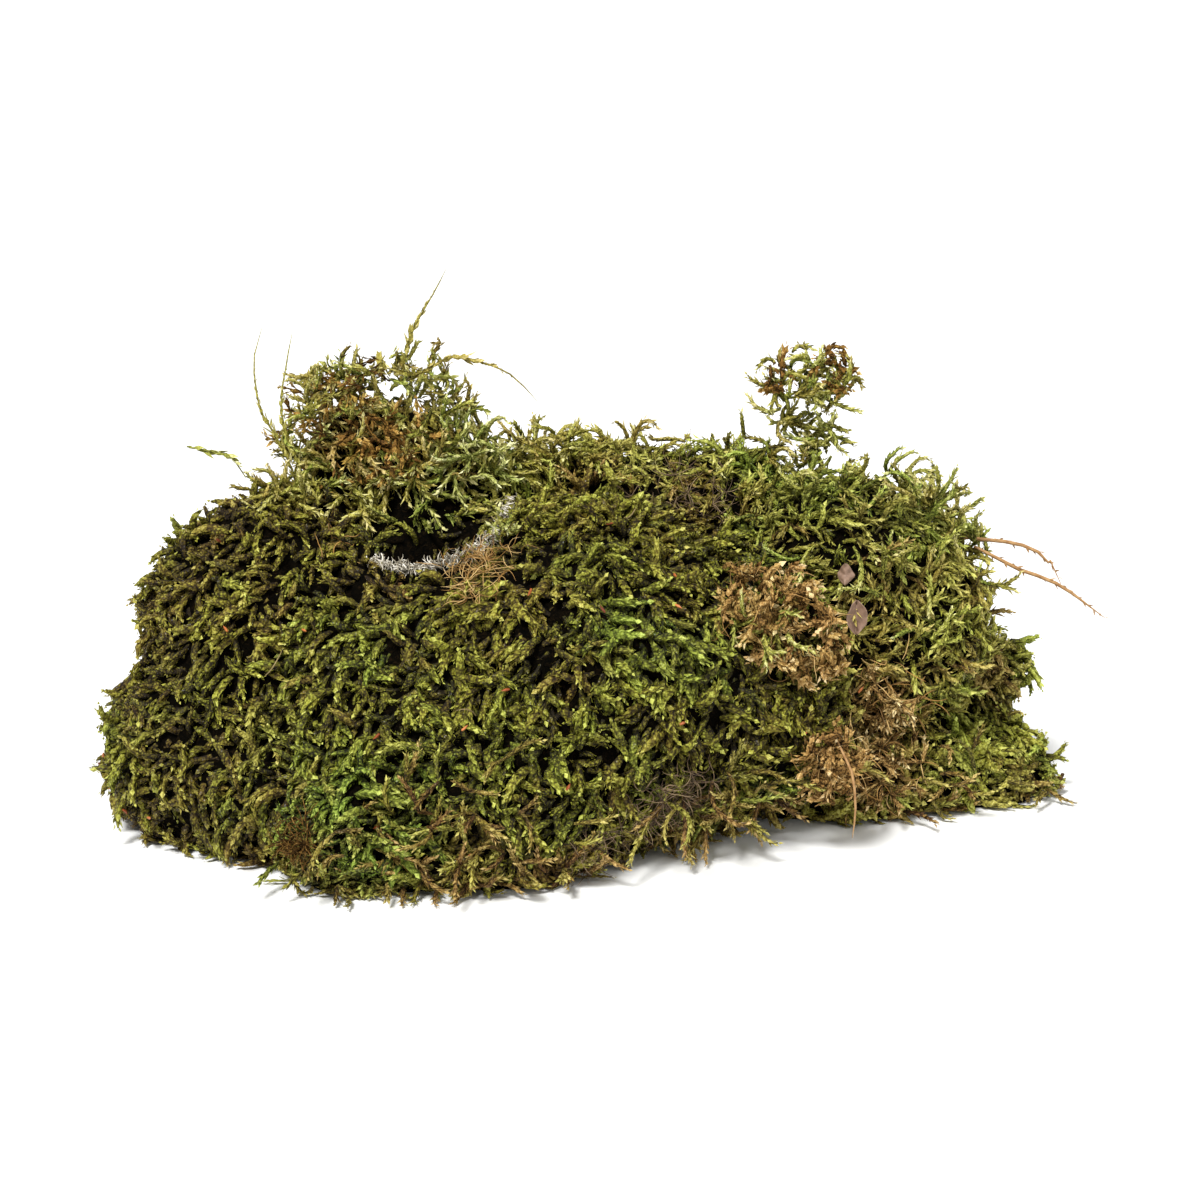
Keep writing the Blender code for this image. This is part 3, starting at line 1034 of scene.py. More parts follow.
@dataclass(frozen=True)
class PackedCore:
    """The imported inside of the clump: its outer form, less the shell of shoots. Sizes in millimetres."""

    facet: float = 2.6          # the size of its faces
    heart_facet: float = 3.4
    join: float = 0.6           # how far the mats are grown, so that they meet
    shell: float = 5.0          # how deep the shoots are rooted under the outer form
    thin_shell: float = 0.22    # the share of that inside the hollow
    thin_top: float = 2.2       # how much deeper they are in the loose top of the clump
    top_from: float = 78.0
    top_over: float = 10.0
    floor_reach: float = 8.0    # how high the foot widens down to the ground
    foot_drop: float = 0.85
    lump: float = 0.9           # how rough the surface is
    heart_inset: float = 1.5    # how far the old stems lie behind it
    heart_floor: float = 0.3

    def joined(self) -> bpy.types.Mesh:
        """Joins the mats, each grown a little and drawn down below the ground at its foot.

        Returns:
            Their outer form, as one smooth mesh.
        """
        reach = self.floor_reach * MM
        points, faces, start = [], [], 0
        for node in MAT_NODES:
            mesh = closed_copy(node)
            place = corners(mesh) + normals(mesh) * self.join * MM
            foot = np.clip((reach - place[:, 2]) / reach, 0.0, 1.0)
            place[:, 2] -= self.foot_drop * reach * foot
            points.append(place)
            faces.extend(tuple(start + i for i in p.vertices) for p in mesh.polygons)
            start += len(place)
        rough = mesh_of("outer", np.concatenate(points), faces)
        return smoothed(in_order(modified(rough, self.voxels(self.facet))), 2)

    def voxels(self, facet: float) -> tuple[str, dict]:
        """Returns the remesh step for faces of one size."""
        return "REMESH", {"mode": "VOXEL", "voxel_size": facet * MM}

    def mesh(self) -> bpy.types.Mesh:
        """Builds the core.

        Returns:
            One closed mesh, which reaches a little below the ground.
        """
        outer = self.joined()
        place = corners(outer)
        from_hollow = (out_of_hollow(place) - 1.15) * 2.2
        depth = self.shell * MM * np.clip(from_hollow + self.thin_shell, self.thin_shell, 1.0)
        above = (place[:, 2] - self.top_from * MM) / (self.top_over * MM)
        depth += self.thin_top * MM * np.clip(above, 0.0, 1.0)
        put_corners(outer, place - normals(outer) * (depth + self.join * MM)[:, None])
        core = in_order(modified(outer, self.voxels(self.facet)))
        place = corners(core)
        fine, coarse = swirl(place, 3.2 * MM), swirl(place, 9 * MM, 5.0)
        put_corners(core, place + (fine * self.lump * MM + coarse * self.lump * MM))
        return core

    def heart(self, core: bpy.types.Mesh) -> bpy.types.Mesh:
        """Builds the old stems behind the joints between mats: the core, a little smaller.

        Args:
            core: The core's mesh.

        Returns:
            One closed mesh, on the ground.
        """
        heart = in_order(modified(core.copy(), self.voxels(self.heart_facet)))
        place = corners(heart) - normals(heart) * self.heart_inset * MM
        place[:, 2] = np.maximum(place[:, 2], self.heart_floor * MM)
        put_corners(heart, place)
        return heart


# ---------------------------------------------------------------- mats

@dataclass(frozen=True)
class Patch:
    """A place where the moss differs: a soft ball with an amount at its middle, in millimetres."""

    centre: tuple[float, float, float]
    radius: float
    amount: float

    def at(self, places: Array) -> Array:
        """Returns the amount at each place."""
        away = np.linalg.norm(places - np.array(self.centre) * MM, axis=1) / (self.radius * MM)
        return self.amount * np.clip(1.4 - away, 0.0, 1.0) ** 1.3


DEAD_PATCHES = (
    Patch((38, -30, 52), 9, 0.8),
    Patch((20, 4, 74), 11, 0.55),
    Patch((-2, 8, 76), 12, 0.45),
    Patch((22, -44, 16), 11, 0.5),
    Patch((58, -18, 32), 10, 0.6),
    Patch((64, -14, 16), 12, 0.7),
    Patch((-63, -58, 10), 7, 0.9),
    Patch((-60, 16, 88), 12, 0.45),
    Patch((-46, -22, 58), 9, 0.5),
    Patch((0, -50, 4), 12, 0.5),
    Patch((90, 12, 34), 10, 0.5),
)
BARE_PATCHES = (
    Patch((-38, 3, 69), 10, 1.2),
    Patch((-47, 3, 67), 6, 1.0),
)
FRESH_PATCHES = (
    Patch((-50, -50, 16), 18, 0.8),
    Patch((48, 4, 76), 22, 0.5),
    Patch((20, -36, 46), 11, 0.5),
    Patch((-40, -40, 40), 12, 0.25),
    Patch((70, 0, 62), 18, 0.3),
    Patch((-8, -46, 28), 13, 0.25),
    Patch((-28, 4, 84), 12, 0.5),
)


@dataclass(frozen=True)
class MossMat:
    """One mat of the clump: a bed of old stems and the shoots that grow from it.

    Lengths are in millimetres. Comb is the way its shoots lean besides down the slope,
    hang and rise say how far they hang and stand up, dry and fresh are its overall
    condition, and splits are where its shoots are divided into pieces along X.
    """

    node: str
    slot: str
    spacing: float
    untidiness: float = 1.5
    comb: tuple[float, float, float] = (0.0, 0.0, 0.0)
    hang: float = 0.95
    rise: float = 0.75
    smallest: float = 0.7
    largest: float = 1.15
    dry: float = 0.15
    fresh: float = 0.2
    splits: tuple[float, ...] = ()
    curly: bool = False
    airy: bool = False
    gappy: float = 1.0
    bed_join: float = 0.35
    near_skin: float = 0.45
    lowest: float = 0.6
    ground_room: float = 7.0
    seed: int = 1

    def bed(self, core: bpy.types.Object) -> bpy.types.Mesh:
        """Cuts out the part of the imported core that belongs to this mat.

        Args:
            core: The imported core.

        Returns:
            One closed mesh.
        """
        outer = closed_copy(self.node)
        place = corners(outer) + normals(outer) * self.bed_join * MM
        place[:, 2] = np.maximum(place[:, 2], 0.0)
        put_corners(outer, place)
        return in_order(modified(outer, ("BOOLEAN", {
            "operation": "INTERSECT", "solver": "MANIFOLD", "object": core})))

    def comb_bed(self, bed: bpy.types.Mesh, surface: BVHTree) -> None:
        """Stores on the bed where shoots grow and which way they point.

        Args:
            bed: The bed's mesh.
            surface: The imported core's surface, to tell it from faces between mats.
        """
        place, facing = corners(bed), normals(bed)
        grows = []
        for face in bed.polygons:
            _, way, _, near = surface.find_nearest(face.center)
            outside = near < self.near_skin * MM and way.dot(face.normal) > 0.5
            grows.append(outside and face.center.z > self.lowest * MM)
        write_values(bed, "grows", np.array(grows, bool), "FACE")
        top = np.clip(facing[:, 2], 0.0, 1.0)
        write_values(bed, "flow", self.flow(place, facing, top))
        write_values(bed, "rise", self.rise + 0.35 * top + 0.2 * swirl(place, 8 * MM, 9.0)[:, 0])

        # Few and short shoots in the hollow, a few less at the back, and gaps and bare places, where the
        # bed's painted shade shows through.
        hollow = np.clip((out_of_hollow(place) - 1.04) / 0.07, 0.0, 1.0)
        back = np.clip((place[:, 1] - 0.02) / 0.02, 0.0, 1.0)
        gaps = 1.0 - self.gappy * np.clip(0.45 - 1.7 * (patchiness(place, 7 * MM, 4.0) - 0.3), 0.0, 0.6)
        bare = sum(patch.at(place) for patch in BARE_PATCHES)
        amount = (1.0 - 0.1 * back) * (0.08 + 0.92 * hollow) * gaps * np.clip(1.0 - bare, 0.0, 1.0)
        write_values(bed, "density", np.clip(amount, 0.0, 1.0))
        tall = 0.72 + 0.56 * patchiness(place, 9 * MM, 6.0)
        write_values(bed, "size", (0.6 + 0.4 * hollow) * (1.0 + 0.12 * back) * tall)

        # Dry at the foot and in patches, and fresh in patches of their own.
        foot = np.clip((9 * MM - place[:, 2]) / (9 * MM), 0.0, 1.0)
        dry = self.dry + 0.8 * (patchiness(place, 11 * MM, 2.0) - 0.5) + 0.4 * foot
        dry += 1.0 * (patchiness(place, 4.5 * MM, 8.0) - 0.5)
        dry += sum(patch.at(place) for patch in DEAD_PATCHES)
        fresh = self.fresh + 1.1 * (patchiness(place, 22 * MM, 7.0) - 0.5)
        fresh += 0.9 * (patchiness(place, 7 * MM, 12.0) - 0.5)
        fresh += sum(patch.at(place) for patch in FRESH_PATCHES)
        write_values(bed, "dry", np.clip(dry, 0.0, 1.0))
        write_values(bed, "fresh", np.clip(fresh, 0.0, 1.0))

    def flow(self, place: Array, facing: Array, top: Array) -> Array:
        """Finds the way that shoots are combed along the bed: down, outwards and in swirls.

        Args:
            place: The bed's points.
            facing: The way that the bed faces at each point.
            top: How far each point faces up, from 0 to 1.

        Returns:
            One vector for each point, along the bed.
        """
        down = np.array([0.0, 0.0, -1.0])
        slope = down - facing * (facing @ down)[:, None]
        out = place * np.array([1.0, 1.0, 0.0])
        out = unit(out - facing * np.sum(out * facing, axis=1)[:, None])
        flow = slope * self.hang + out * (0.25 + 0.35 * top)[:, None]
        flow += swirl(place, 13 * MM, self.seed) * 1.1 + swirl(place, 5 * MM, 3.0) * 0.6 + np.array(self.comb)
        return flow - facing * np.sum(flow * facing, axis=1)[:, None]

    def grow(self, core: bpy.types.Object, surface: BVHTree, tree: bpy.types.NodeTree,
             shoots: bpy.types.Collection, leaf: bpy.types.Material, old: bpy.types.Material) -> None:
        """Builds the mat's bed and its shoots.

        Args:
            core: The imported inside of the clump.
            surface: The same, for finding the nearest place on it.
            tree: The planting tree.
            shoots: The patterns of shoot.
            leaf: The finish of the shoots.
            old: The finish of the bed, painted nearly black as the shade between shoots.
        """
        bed = self.bed(core)
        self.comb_bed(bed, surface)
        edges = (-1.0, *(x * MM for x in self.splits), 1.0)
        for i, (start, end) in enumerate(zip(edges, edges[1:])):
            mesh = grown(bed.copy(), tree, {
                "Shoots": shoots, "Spacing": self.spacing * MM, "Seed": self.seed,
                "Untidiness": self.untidiness, "Smallest": self.smallest, "Largest": self.largest,
                "From X": start, "To X": end, "Ground Room": self.ground_room * MM, "Material": leaf})
            settle(mesh)
            name = f"{self.node}_shoots" + (f"_{i + 1}" if self.splits else "")
            finish_piece(name, mesh, leaf, [self.node])
        for label in ("grows", "flow", "rise", "density", "size"):
            bed.attributes.remove(bed.attributes[label])
        bed.shade_smooth()
        finish_piece(f"{self.node}_bed", bed, old, [self.node])


MATS = (
    MossMat("front_mat", "green_moss", 1.34, comb=(0.0, -0.1, 0.0), dry=0.05, fresh=0.1,
            smallest=0.78, largest=1.22, gappy=0.85, splits=(-38, -8, 20), seed=11),
    MossMat("left_mat", "olive_moss", 1.5, comb=(-0.1, -0.1, 0.0), rise=0.8, dry=0.15, fresh=-0.05,
            splits=(-82,), smallest=0.75, largest=1.15, gappy=0.75, seed=12),
    MossMat("front_cushion", "bright_moss", 0.90, hang=0.7, smallest=0.45, largest=0.80, dry=0.0,
            fresh=0.4, gappy=0.0, untidiness=0.9, seed=13),
    MossMat("right_mat", "bright_moss", 1.32, hang=0.5, dry=0.34, fresh=0.15, curly=True, largest=1.3,
            gappy=0.5, seed=14),
    MossMat("crest_mat", "green_moss", 1.28, hang=0.3, rise=1.0, dry=0.28, fresh=0.2, curly=True,
            largest=1.3, gappy=0.6, seed=15),
    MossMat("back_flap", "olive_moss", 1.32, hang=0.0, rise=1.0, curly=True, largest=1.4, dry=0.30,
            fresh=0.2, gappy=0.5, seed=16),
    MossMat("base_mat", "olive_moss", 1.25, comb=(0.3, -0.2, 0.1), rise=0.9, dry=0.1, fresh=0.3,
            airy=True, gappy=0.5, seed=17),
    MossMat("far_right_mat", "green_moss", 1.25, comb=(0.4, 0.0, 0.0), rise=0.9, dry=0.2, fresh=0.25,
            airy=True, gappy=0.5, seed=18),
    MossMat("rear_mat", "green_moss", 1.84, dry=0.2, fresh=0.1, smallest=1.0, largest=1.5, gappy=0.4,
            untidiness=1.2, seed=19),
)


# ---------------------------------------------------------------- tangles, tufts and runners

LEAST_DEPTH = 0.3       # how deep under the form a stem starts at least, in millimetres
OUTWARD = 0.4           # how much it starts away from the form
WANDER = 0.45           # how much its bend changes at each step, as a share of its curl
KEPT_BEND = 0.86        # how much of its bend it keeps
PULL_IN, PULL_OUT = -0.5, 0.35      # how hard it turns back when it is too high or too deep
ABOVE_GROUND = 0.8      # how high above the ground it stays, in millimetres


@dataclass(frozen=True)
class Tangle:
    """A loose mass of curling stems that keeps near a node's outer form. Lengths in millimetres.

    Its stems start at a depth under the form, may reach over it, and start only above
    the lowest height and around the patch, where those are given.
    """

    name: str
    node: str
    habit: Habit
    count: int
    shortest: float
    longest: float
    curl: float
    depth: float
    dry: tuple[float, float] = (1.0, 1.0)
    fresh: tuple[float, float] = (0.0, 0.4)
    step: float = 1.3
    over: float = 1.5
    lowest: float = 0.0
    around: Optional[Patch] = None
    slot: Optional[str] = None      # where it isn't the node's own
    seed: int = 1

    def paths(self) -> Lines:
        """Draws the tangle's stems as lines that wander in the shell of the form.

        Returns:
            The lines.
        """
        rng = np.random.default_rng(self.seed)
        mesh = closed_copy(self.node)
        form = BVHTree.FromPolygons([v.co for v in mesh.vertices], [p.vertices for p in mesh.polygons])
        areas = np.array([p.area for p in mesh.polygons])
        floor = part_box(self.node)[0].z + self.lowest * MM
        areas *= [p.center.z > floor for p in mesh.polygons]
        if self.around:
            areas *= self.around.at(np.array([p.center for p in mesh.polygons]))
        lines = Lines()
        for face in rng.choice(len(areas), self.count, p=areas / areas.sum()):
            seat = mesh.polygons[int(face)]
            place = seat.center - seat.normal * rng.uniform(LEAST_DEPTH, self.depth) * MM
            heading = Vector(rng.normal(size=3)).normalized()
            heading = (heading + seat.normal * OUTWARD).normalized()
            bend = Vector(rng.normal(size=3)).normalized() * self.curl
            route = [np.array(place)]
            for _ in range(int(rng.uniform(self.shortest, self.longest) / self.step)):
                near, facing, _, _ = form.find_nearest(place)
                above = (place - near).dot(facing) / MM
                turn = PULL_IN if above > self.over else PULL_OUT if above < -self.depth else 0.0
                bend = (bend + Vector(rng.normal(size=3)) * self.curl * WANDER) * KEPT_BEND
                heading = (heading + bend + facing * turn).normalized()
                place = place + heading * self.step * MM
                place.z = max(place.z, ABOVE_GROUND * MM)
                route.append(np.array(place))
            if len(route) > 2:
                lines.add(np.array(route), rng.uniform(), rng.uniform(*self.dry), rng.uniform(*self.fresh))
        return lines

    def grow(self, kit: StemKit, material: bpy.types.Material) -> None:
        """Builds the tangle.

        Args:
            kit: What stems are grown with.
            material: The finish of the stems.
        """
        mesh = self.paths().stems(self.name, kit, self.habit, material, self.seed)
        settle(mesh)
        finish_piece(self.name, mesh, material, [self.node])


LEAFY_TANGLES = (
    Tangle("crest_tangle_stems", "crest_tangle", Habit.LOOSE, 112, 4, 11, 0.36, 5.0, dry=(0.0, 0.5),
           fresh=(0.1, 0.8), over=0.8, seed=31),
    Tangle("back_flap_tangle", "back_flap", Habit.LOOSE, 170, 5, 12, 0.34, 4.5, dry=(0.0, 0.7),
           fresh=(0.0, 0.9), over=1.0, lowest=16.0, seed=32),
    Tangle("back_flap_fronds", "back_flap", Habit.FROND, 120, 5, 10, 0.28, 3.5, dry=(0.0, 0.6),
           fresh=(0.0, 0.9), over=1.0, lowest=14.0, seed=69),
    Tangle("crest_left_tangle", "crest_mat", Habit.LOOSE, 34, 5, 10, 0.28, 1.0, dry=(0.0, 0.5), over=4.5,
           around=Patch((-12, 18, 86), 8, 1.0), seed=70),
    Tangle("right_shoulder_tangle", "right_mat", Habit.LOOSE, 60, 6, 13, 0.28, 1.0, dry=(0.0, 0.6),
           fresh=(0.2, 0.9), over=5.5, around=Patch((74, 8, 66), 14, 1.0), seed=71),
    Tangle("left_shoulder_tangle", "left_mat", Habit.LOOSE, 34, 5, 10, 0.28, 1.0, dry=(0.0, 0.6),
           over=4.5, around=Patch((-70, 6, 74), 8, 1.0), seed=72),
    Tangle("tuft_green_shoots", "brown_tuft", Habit.LOOSE, 14, 5, 9, 0.26, 0.5, dry=(0.0, 0.3),
           fresh=(0.3, 0.9), over=2.5, around=Patch((34, -36, 52), 7, 1.0), slot="green_moss", seed=75),
    Tangle("hollow_strands", "back_flap", Habit.LOOSE, 16, 6, 12, 0.30, 1.0, dry=(0.0, 0.4), fresh=(0.5,
           1.0), over=2.5, around=Patch((-38, 4, 68), 8, 1.0), seed=30),
    Tangle("crest_mat_tangle", "crest_mat", Habit.LOOSE, 70, 5, 12, 0.28, 2.0, dry=(0.0, 0.6), over=2.5,
           lowest=26.0, seed=33),
    Tangle("right_mat_tangle", "right_mat", Habit.LOOSE, 110, 6, 14, 0.32, 2.0, dry=(0.0, 0.4),
           fresh=(0.3, 1.0), over=2.5, lowest=26.0, seed=34),
)
FOOT_TANGLES = (
    Tangle("front_foot_stragglers", "front_mat", Habit.LOOSE, 110, 6, 13, 0.20, 0.8, dry=(0.2, 1.0),
           fresh=(0.0, 0.6), over=7.0, around=Patch((-30, -52, 3), 24, 1.0), seed=73),
    Tangle("cushion_foot_stragglers", "front_cushion", Habit.LOOSE, 40, 5, 10, 0.20, 0.8, dry=(0.1, 0.8),
           fresh=(0.2, 0.8), over=5.0, around=Patch((-56, -60, 3), 14, 1.0), seed=74),
    Tangle("middle_foot_stragglers", "front_mat", Habit.LOOSE, 60, 9, 17, 0.14, 0.5, dry=(0.2, 1.0),
           fresh=(0.2, 0.9), over=11.0, around=Patch((24, -34, 8), 14, 1.0), seed=76),
    Tangle("base_foot_stragglers", "base_mat", Habit.LOOSE, 44, 5, 11, 0.18, 0.5, dry=(0.3, 1.0),
           fresh=(0.2, 0.9), over=6.0, around=Patch((80, -4, 3), 26, 1.0), seed=77),
)
HOARY_TANGLES = (
    Tangle("flap_pale_shoots", "back_flap", Habit.LOOSE, 34, 5, 11, 0.26, 1.0, dry=(0.0, 0.2),
           fresh=(0.6, 1.0), over=2.0, around=Patch((-26, 4, 81), 9, 1.0), seed=66),
    Tangle("rim_pale_shoots", "front_mat", Habit.LOOSE, 16, 4, 8, 0.26, 0.8, dry=(0.0, 0.3), fresh=(0.4,
           1.0), over=2.0, around=Patch((-22, -16, 68), 5, 1.0), seed=67),
)
DEAD_TANGLES = (
    Tangle("brown_tuft_stems", "brown_tuft", Habit.CRISPED, 120, 4, 9, 0.40, 3.0, dry=(0.75, 1.0),
           over=0.2, step=1.0, seed=35),
    Tangle("lower_brown_tuft_stems", "lower_brown_tuft", Habit.CRISPED, 46, 4, 9, 0.40, 3.0, dry=(0.9,
           1.0), over=0.2, step=1.0, seed=36),
)
BROWN_TANGLES = (
    Tangle("cushion_brown_fibres", "front_cushion", Habit.FIBRE, 150, 3, 7, 0.46, 1.5, over=1.5,
           step=1.0, around=Patch((-63, -58, 13), 4, 1.0), seed=37),
    Tangle("crest_tangle_brown_tips", "crest_tangle", Habit.CRISPED, 12, 4, 7, 0.40, 2.0, dry=(0.85,
           1.0), over=1.0, step=1.0, around=Patch((53, 19, 98), 5, 1.0), seed=58),
    Tangle("crest_tangle_brown_edge", "crest_tangle", Habit.CRISPED, 8, 4, 7, 0.40, 2.0, dry=(0.85, 1.0),
           over=1.0, step=1.0, around=Patch((42, 19, 96), 4, 1.0), seed=59),
    Tangle("flap_brown_fronds", "back_flap", Habit.FROND, 60, 5, 9, 0.34, 3.0, dry=(0.7, 1.0), over=1.0,
           step=1.2, around=Patch((-58, 10, 88), 16, 1.0), seed=68),
    Tangle("flap_brown_curls", "back_flap", Habit.CRISPED, 16, 5, 9, 0.34, 2.0, dry=(0.85, 1.0),
           over=1.5, step=1.0, around=Patch((-47, 5, 84), 6, 1.0), seed=60),
)
BLEACHED_TANGLES = (
    Tangle("base_dead_shoots", "base_mat", Habit.LOOSE, 50, 4, 9, 0.36, 2.0, dry=(0.9, 1.0), over=2.5,
           around=Patch((61, -15, 15), 9, 1.0), seed=61),
    Tangle("right_dead_shoots", "right_mat", Habit.LOOSE, 60, 4, 9, 0.36, 2.0, dry=(0.9, 1.0), over=2.5,
           around=Patch((61, -14, 29), 8, 1.0), seed=62),
)
FIBRE_TANGLES = (
    Tangle("front_humus_fibres", "front_mat", Habit.HAIR, 220, 4, 9, 0.5, 1.2, over=2.5, step=1.0,
           around=Patch((17, -44, 15), 9, 1.0), seed=38),
    Tangle("crest_humus_fibres", "crest_mat", Habit.HAIR, 130, 4, 9, 0.5, 1.2, over=2.5,
           around=Patch((20, 4, 72), 11, 1.0), seed=39),
    Tangle("foot_humus_fibres", "front_mat", Habit.HAIR, 120, 4, 9, 0.5, 1.2, over=2.0, around=Patch((0,
           -50, 6), 8, 1.0), seed=40),
)
TAN_TANGLES = (
    Tangle("brown_tuft_fibres", "brown_tuft", Habit.HAIR, 60, 5, 11, 0.5, 1.5, over=0.8, step=1.0,
           seed=63),
    Tangle("lower_brown_tuft_fibres", "lower_brown_tuft", Habit.HAIR, 24, 5, 11, 0.4, 1.5, over=0.8,
           step=1.0, seed=64),
    Tangle("hollow_tan_curl", "left_mat", Habit.FIBRE, 7, 6, 9, 1.3, 0.4, over=2.5, step=0.8,
           around=Patch((-51, -12, 64), 8, 1.0), seed=65),
    Tangle("base_tan_fibres", "base_mat", Habit.FIBRE, 130, 3, 8, 0.4, 2.0, over=3.0, around=Patch((61,
           -15, 15), 11, 1.0), seed=51),
    Tangle("right_tan_fibres", "right_mat", Habit.FIBRE, 150, 3, 8, 0.4, 2.0, over=3.0, around=Patch((61,
           -14, 29), 10, 1.0), seed=52),
    Tangle("hollow_tan_fibres", "front_mat", Habit.HAIR, 230, 3, 8, 0.5, 0.6, over=1.2, step=0.9,
           around=Patch((-25, -27, 61), 8, 1.0), seed=53),
)
SCALES = (
    Tangle("front_red_scales", "front_mat", Habit.CHIP, 46, 1.8, 2.8, 0.1, 0.5, over=1.0, step=0.9,
           seed=54),
    Tangle("left_red_scales", "left_mat", Habit.CHIP, 26, 1.8, 2.8, 0.1, 0.5, over=1.0, step=0.9,
           seed=55),
)
STRAWS = (
    Tangle("left_straws", "left_mat", Habit.THICK_FIBRE, 9, 5, 10, 0.14, 0.5, over=1.0, seed=56),
    Tangle("front_straws", "front_mat", Habit.THICK_FIBRE, 7, 5, 10, 0.14, 0.5, over=1.0, seed=57),
)


def middle_line(node: str, steps: int) -> Array:
    """Returns points along the middle of a long thin node, from its lower or left end.

    Args:
        node: The frame's node.
        steps: How many points to give.

    Returns:
        The points, in order.
    """
    place = corners(frame["nodes"][node].data)
    spread = place - place.mean(0)
    axis = np.linalg.svd(spread, full_matrices=False)[2][0]
    axis = axis if axis[np.argmax(np.abs(axis))] > 0 else -axis
    along = spread @ axis
    cuts = np.linspace(along.min(), along.max(), steps + 1)
    groups = [place[(along >= a) & (along <= b)] for a, b in zip(cuts, cuts[1:])]
    return np.array([g.mean(0) for g in groups if len(g)])


@dataclass(frozen=True)
class Runner:
    """A single stem that reaches out of the clump, on the middle line of its node."""

    node: str
    slot: str
    habit: Habit
    dry: float
    fresh: float = 0.2
    from_far_end: bool = False
    steps: int = 9
    root: float = 6.0
    seed: int = 1

    def grow(self, kit: StemKit, material: bpy.types.Material) -> None:
        """Builds the runner, with its root carried on into the mat.

        Args:
            kit: What stems are grown with.
            material: The finish of the stem.
        """
        line = middle_line(self.node, self.steps)
        line = line[::-1] if self.from_far_end else line
        back = unit(line[0] - line[1]) * self.root * MM
        line = np.concatenate([[line[0] + back], line])
        lines = Lines()
        lines.add(line, 0.6, self.dry, self.fresh)
        mesh = lines.stems(self.node, kit, self.habit, material, self.seed)
        finish_piece(f"{self.node}_stem", mesh, material, [self.node])


RUNNERS = (
    Runner("tall_left_sprig", "runner", Habit.RUNNER, 0.25, seed=41),
    Runner("short_left_sprig", "runner", Habit.RUNNER, 0.15, seed=42),
    Runner("side_sprig", "runner", Habit.RUNNER, 0.1, 0.5, from_far_end=True, seed=43),
    Runner("peak_runner", "runner", Habit.RUNNER, 0.35, seed=44),
    Runner("arching_runner", "runner", Habit.RUNNER, 0.5, seed=45),
    Runner("right_twig", "brown_stem", Habit.TWIG, 0.95, seed=46),
    Runner("right_hair_runner", "brown_stem", Habit.TWIG, 0.8, seed=47),
    Runner("hanging_rootlet", "brown_stem", Habit.BARE, 0.9, from_far_end=True, seed=48),
)


@dataclass(frozen=True)
class FeltedRim:
    """The edge of grey-white felted fibres along the front of the hollow. Lengths in millimetres."""

    node: str = "hollow_rim"
    count: int = 600
    reach: float = 0.75
    shortest: float = 1.2
    longest: float = 2.6
    steps: int = 4
    along: float = 1.3          # how much the fibres lie along the rim
    inward: float = 0.35        # how hard they turn back to it
    rise: tuple[tuple[float, float, float], ...] = ((1.2, 1.0, 3.0), (2.2, 2.0, 6.5))
    seed: int = 51

    def grow(self, kit: StemKit, material: bpy.types.Material) -> None:
        """Builds the felt as many thin curled fibres that cross along the rim.

        Args:
            kit: What stems are grown with.
            material: The finish of the fibres.
        """
        rng = np.random.default_rng(self.seed)
        line = middle_line(self.node, 14)[1:]
        line = np.concatenate([line, line[-1] + np.array(self.rise) * MM])
        lines = Lines()
        for _ in range(self.count):
            i = rng.integers(len(line) - 1)
            way = line[i + 1] - line[i]
            middle = line[i] + way * rng.uniform()
            place = middle + rng.normal(size=3) * self.reach * MM
            heading = unit(rng.normal(size=3) + unit(way) * rng.choice((-self.along, self.along)))
            bend = rng.normal(size=3)
            length = rng.uniform(self.shortest, self.longest)
            route = [place]
            for _ in range(self.steps):
                inward = (middle - place) / MM * self.inward
                heading = unit(heading + bend * 0.5 + inward)
                place = place + heading * length / self.steps * MM
                route.append(place)
            lines.add(np.array(route), rng.uniform(), 0.0)
        mesh = lines.stems(self.node, kit, Habit.FIBRE, material, self.seed)
        finish_piece("hollow_rim_felt", mesh, material, [self.node])


@dataclass(frozen=True)
class LeafFlake:
    """A dry leaf flake: a thin ragged plate, folded along its midrib. Lengths in millimetres."""

    node: str
    seed: int
    rows: int = 15
    columns: int = 9
    thickness: float = 0.25

    def grow(self, material: bpy.types.Material) -> None:
        """Builds the flake from its node's middle line and size.

        Args:
            material: The finish of the flake.
        """
        place = corners(closed_copy(self.node))
        middle = place.mean(0)
        axes = np.linalg.svd(place - middle, full_matrices=False)[2]
        length, width = (np.ptp((place - middle) @ axes[i]) for i in (0, 1))
        rows, columns = self.rows, self.columns
        points = []
        for i in range(rows):
            u = i / (rows - 1) * 2 - 1
            wide = (1 - abs(u) ** 2.2) * 0.94 + 0.06
            for j in range(columns):
                v = j / (columns - 1) * 2 - 1
                ragged = 1 + 0.30 * noise.noise(Vector((u * 2.2 + self.seed, v * 1.5, 0)))
                lift = 0.34 * abs(v) + 0.16 * math.sin(2.5 * u + self.seed) - 0.12
                lift += 0.05 * math.sin(8 * u + 5 * abs(v))
                points.append(middle + axes[0] * length / 2 * u + axes[1] * width / 2 * v * wide * ragged
                              + axes[2] * width * lift)
        faces = [(i * columns + j, i * columns + j + 1, (i + 1) * columns + j + 1, (i + 1) * columns + j)
                 for i in range(rows - 1) for j in range(columns - 1)]
        mesh = modified(mesh_of(self.node, np.array(points), faces),
                        ("SOLIDIFY", {"thickness": self.thickness * MM, "offset": 0.0}),
                        ("SUBSURF", {"levels": 1, "render_levels": 1}))
        write_values(mesh, "tone", np.full(len(mesh.vertices), 0.5))
        mesh.shade_smooth()
        finish_piece(f"{self.node}_blade", mesh, material, [self.node])


# ---------------------------------------------------------------- studio

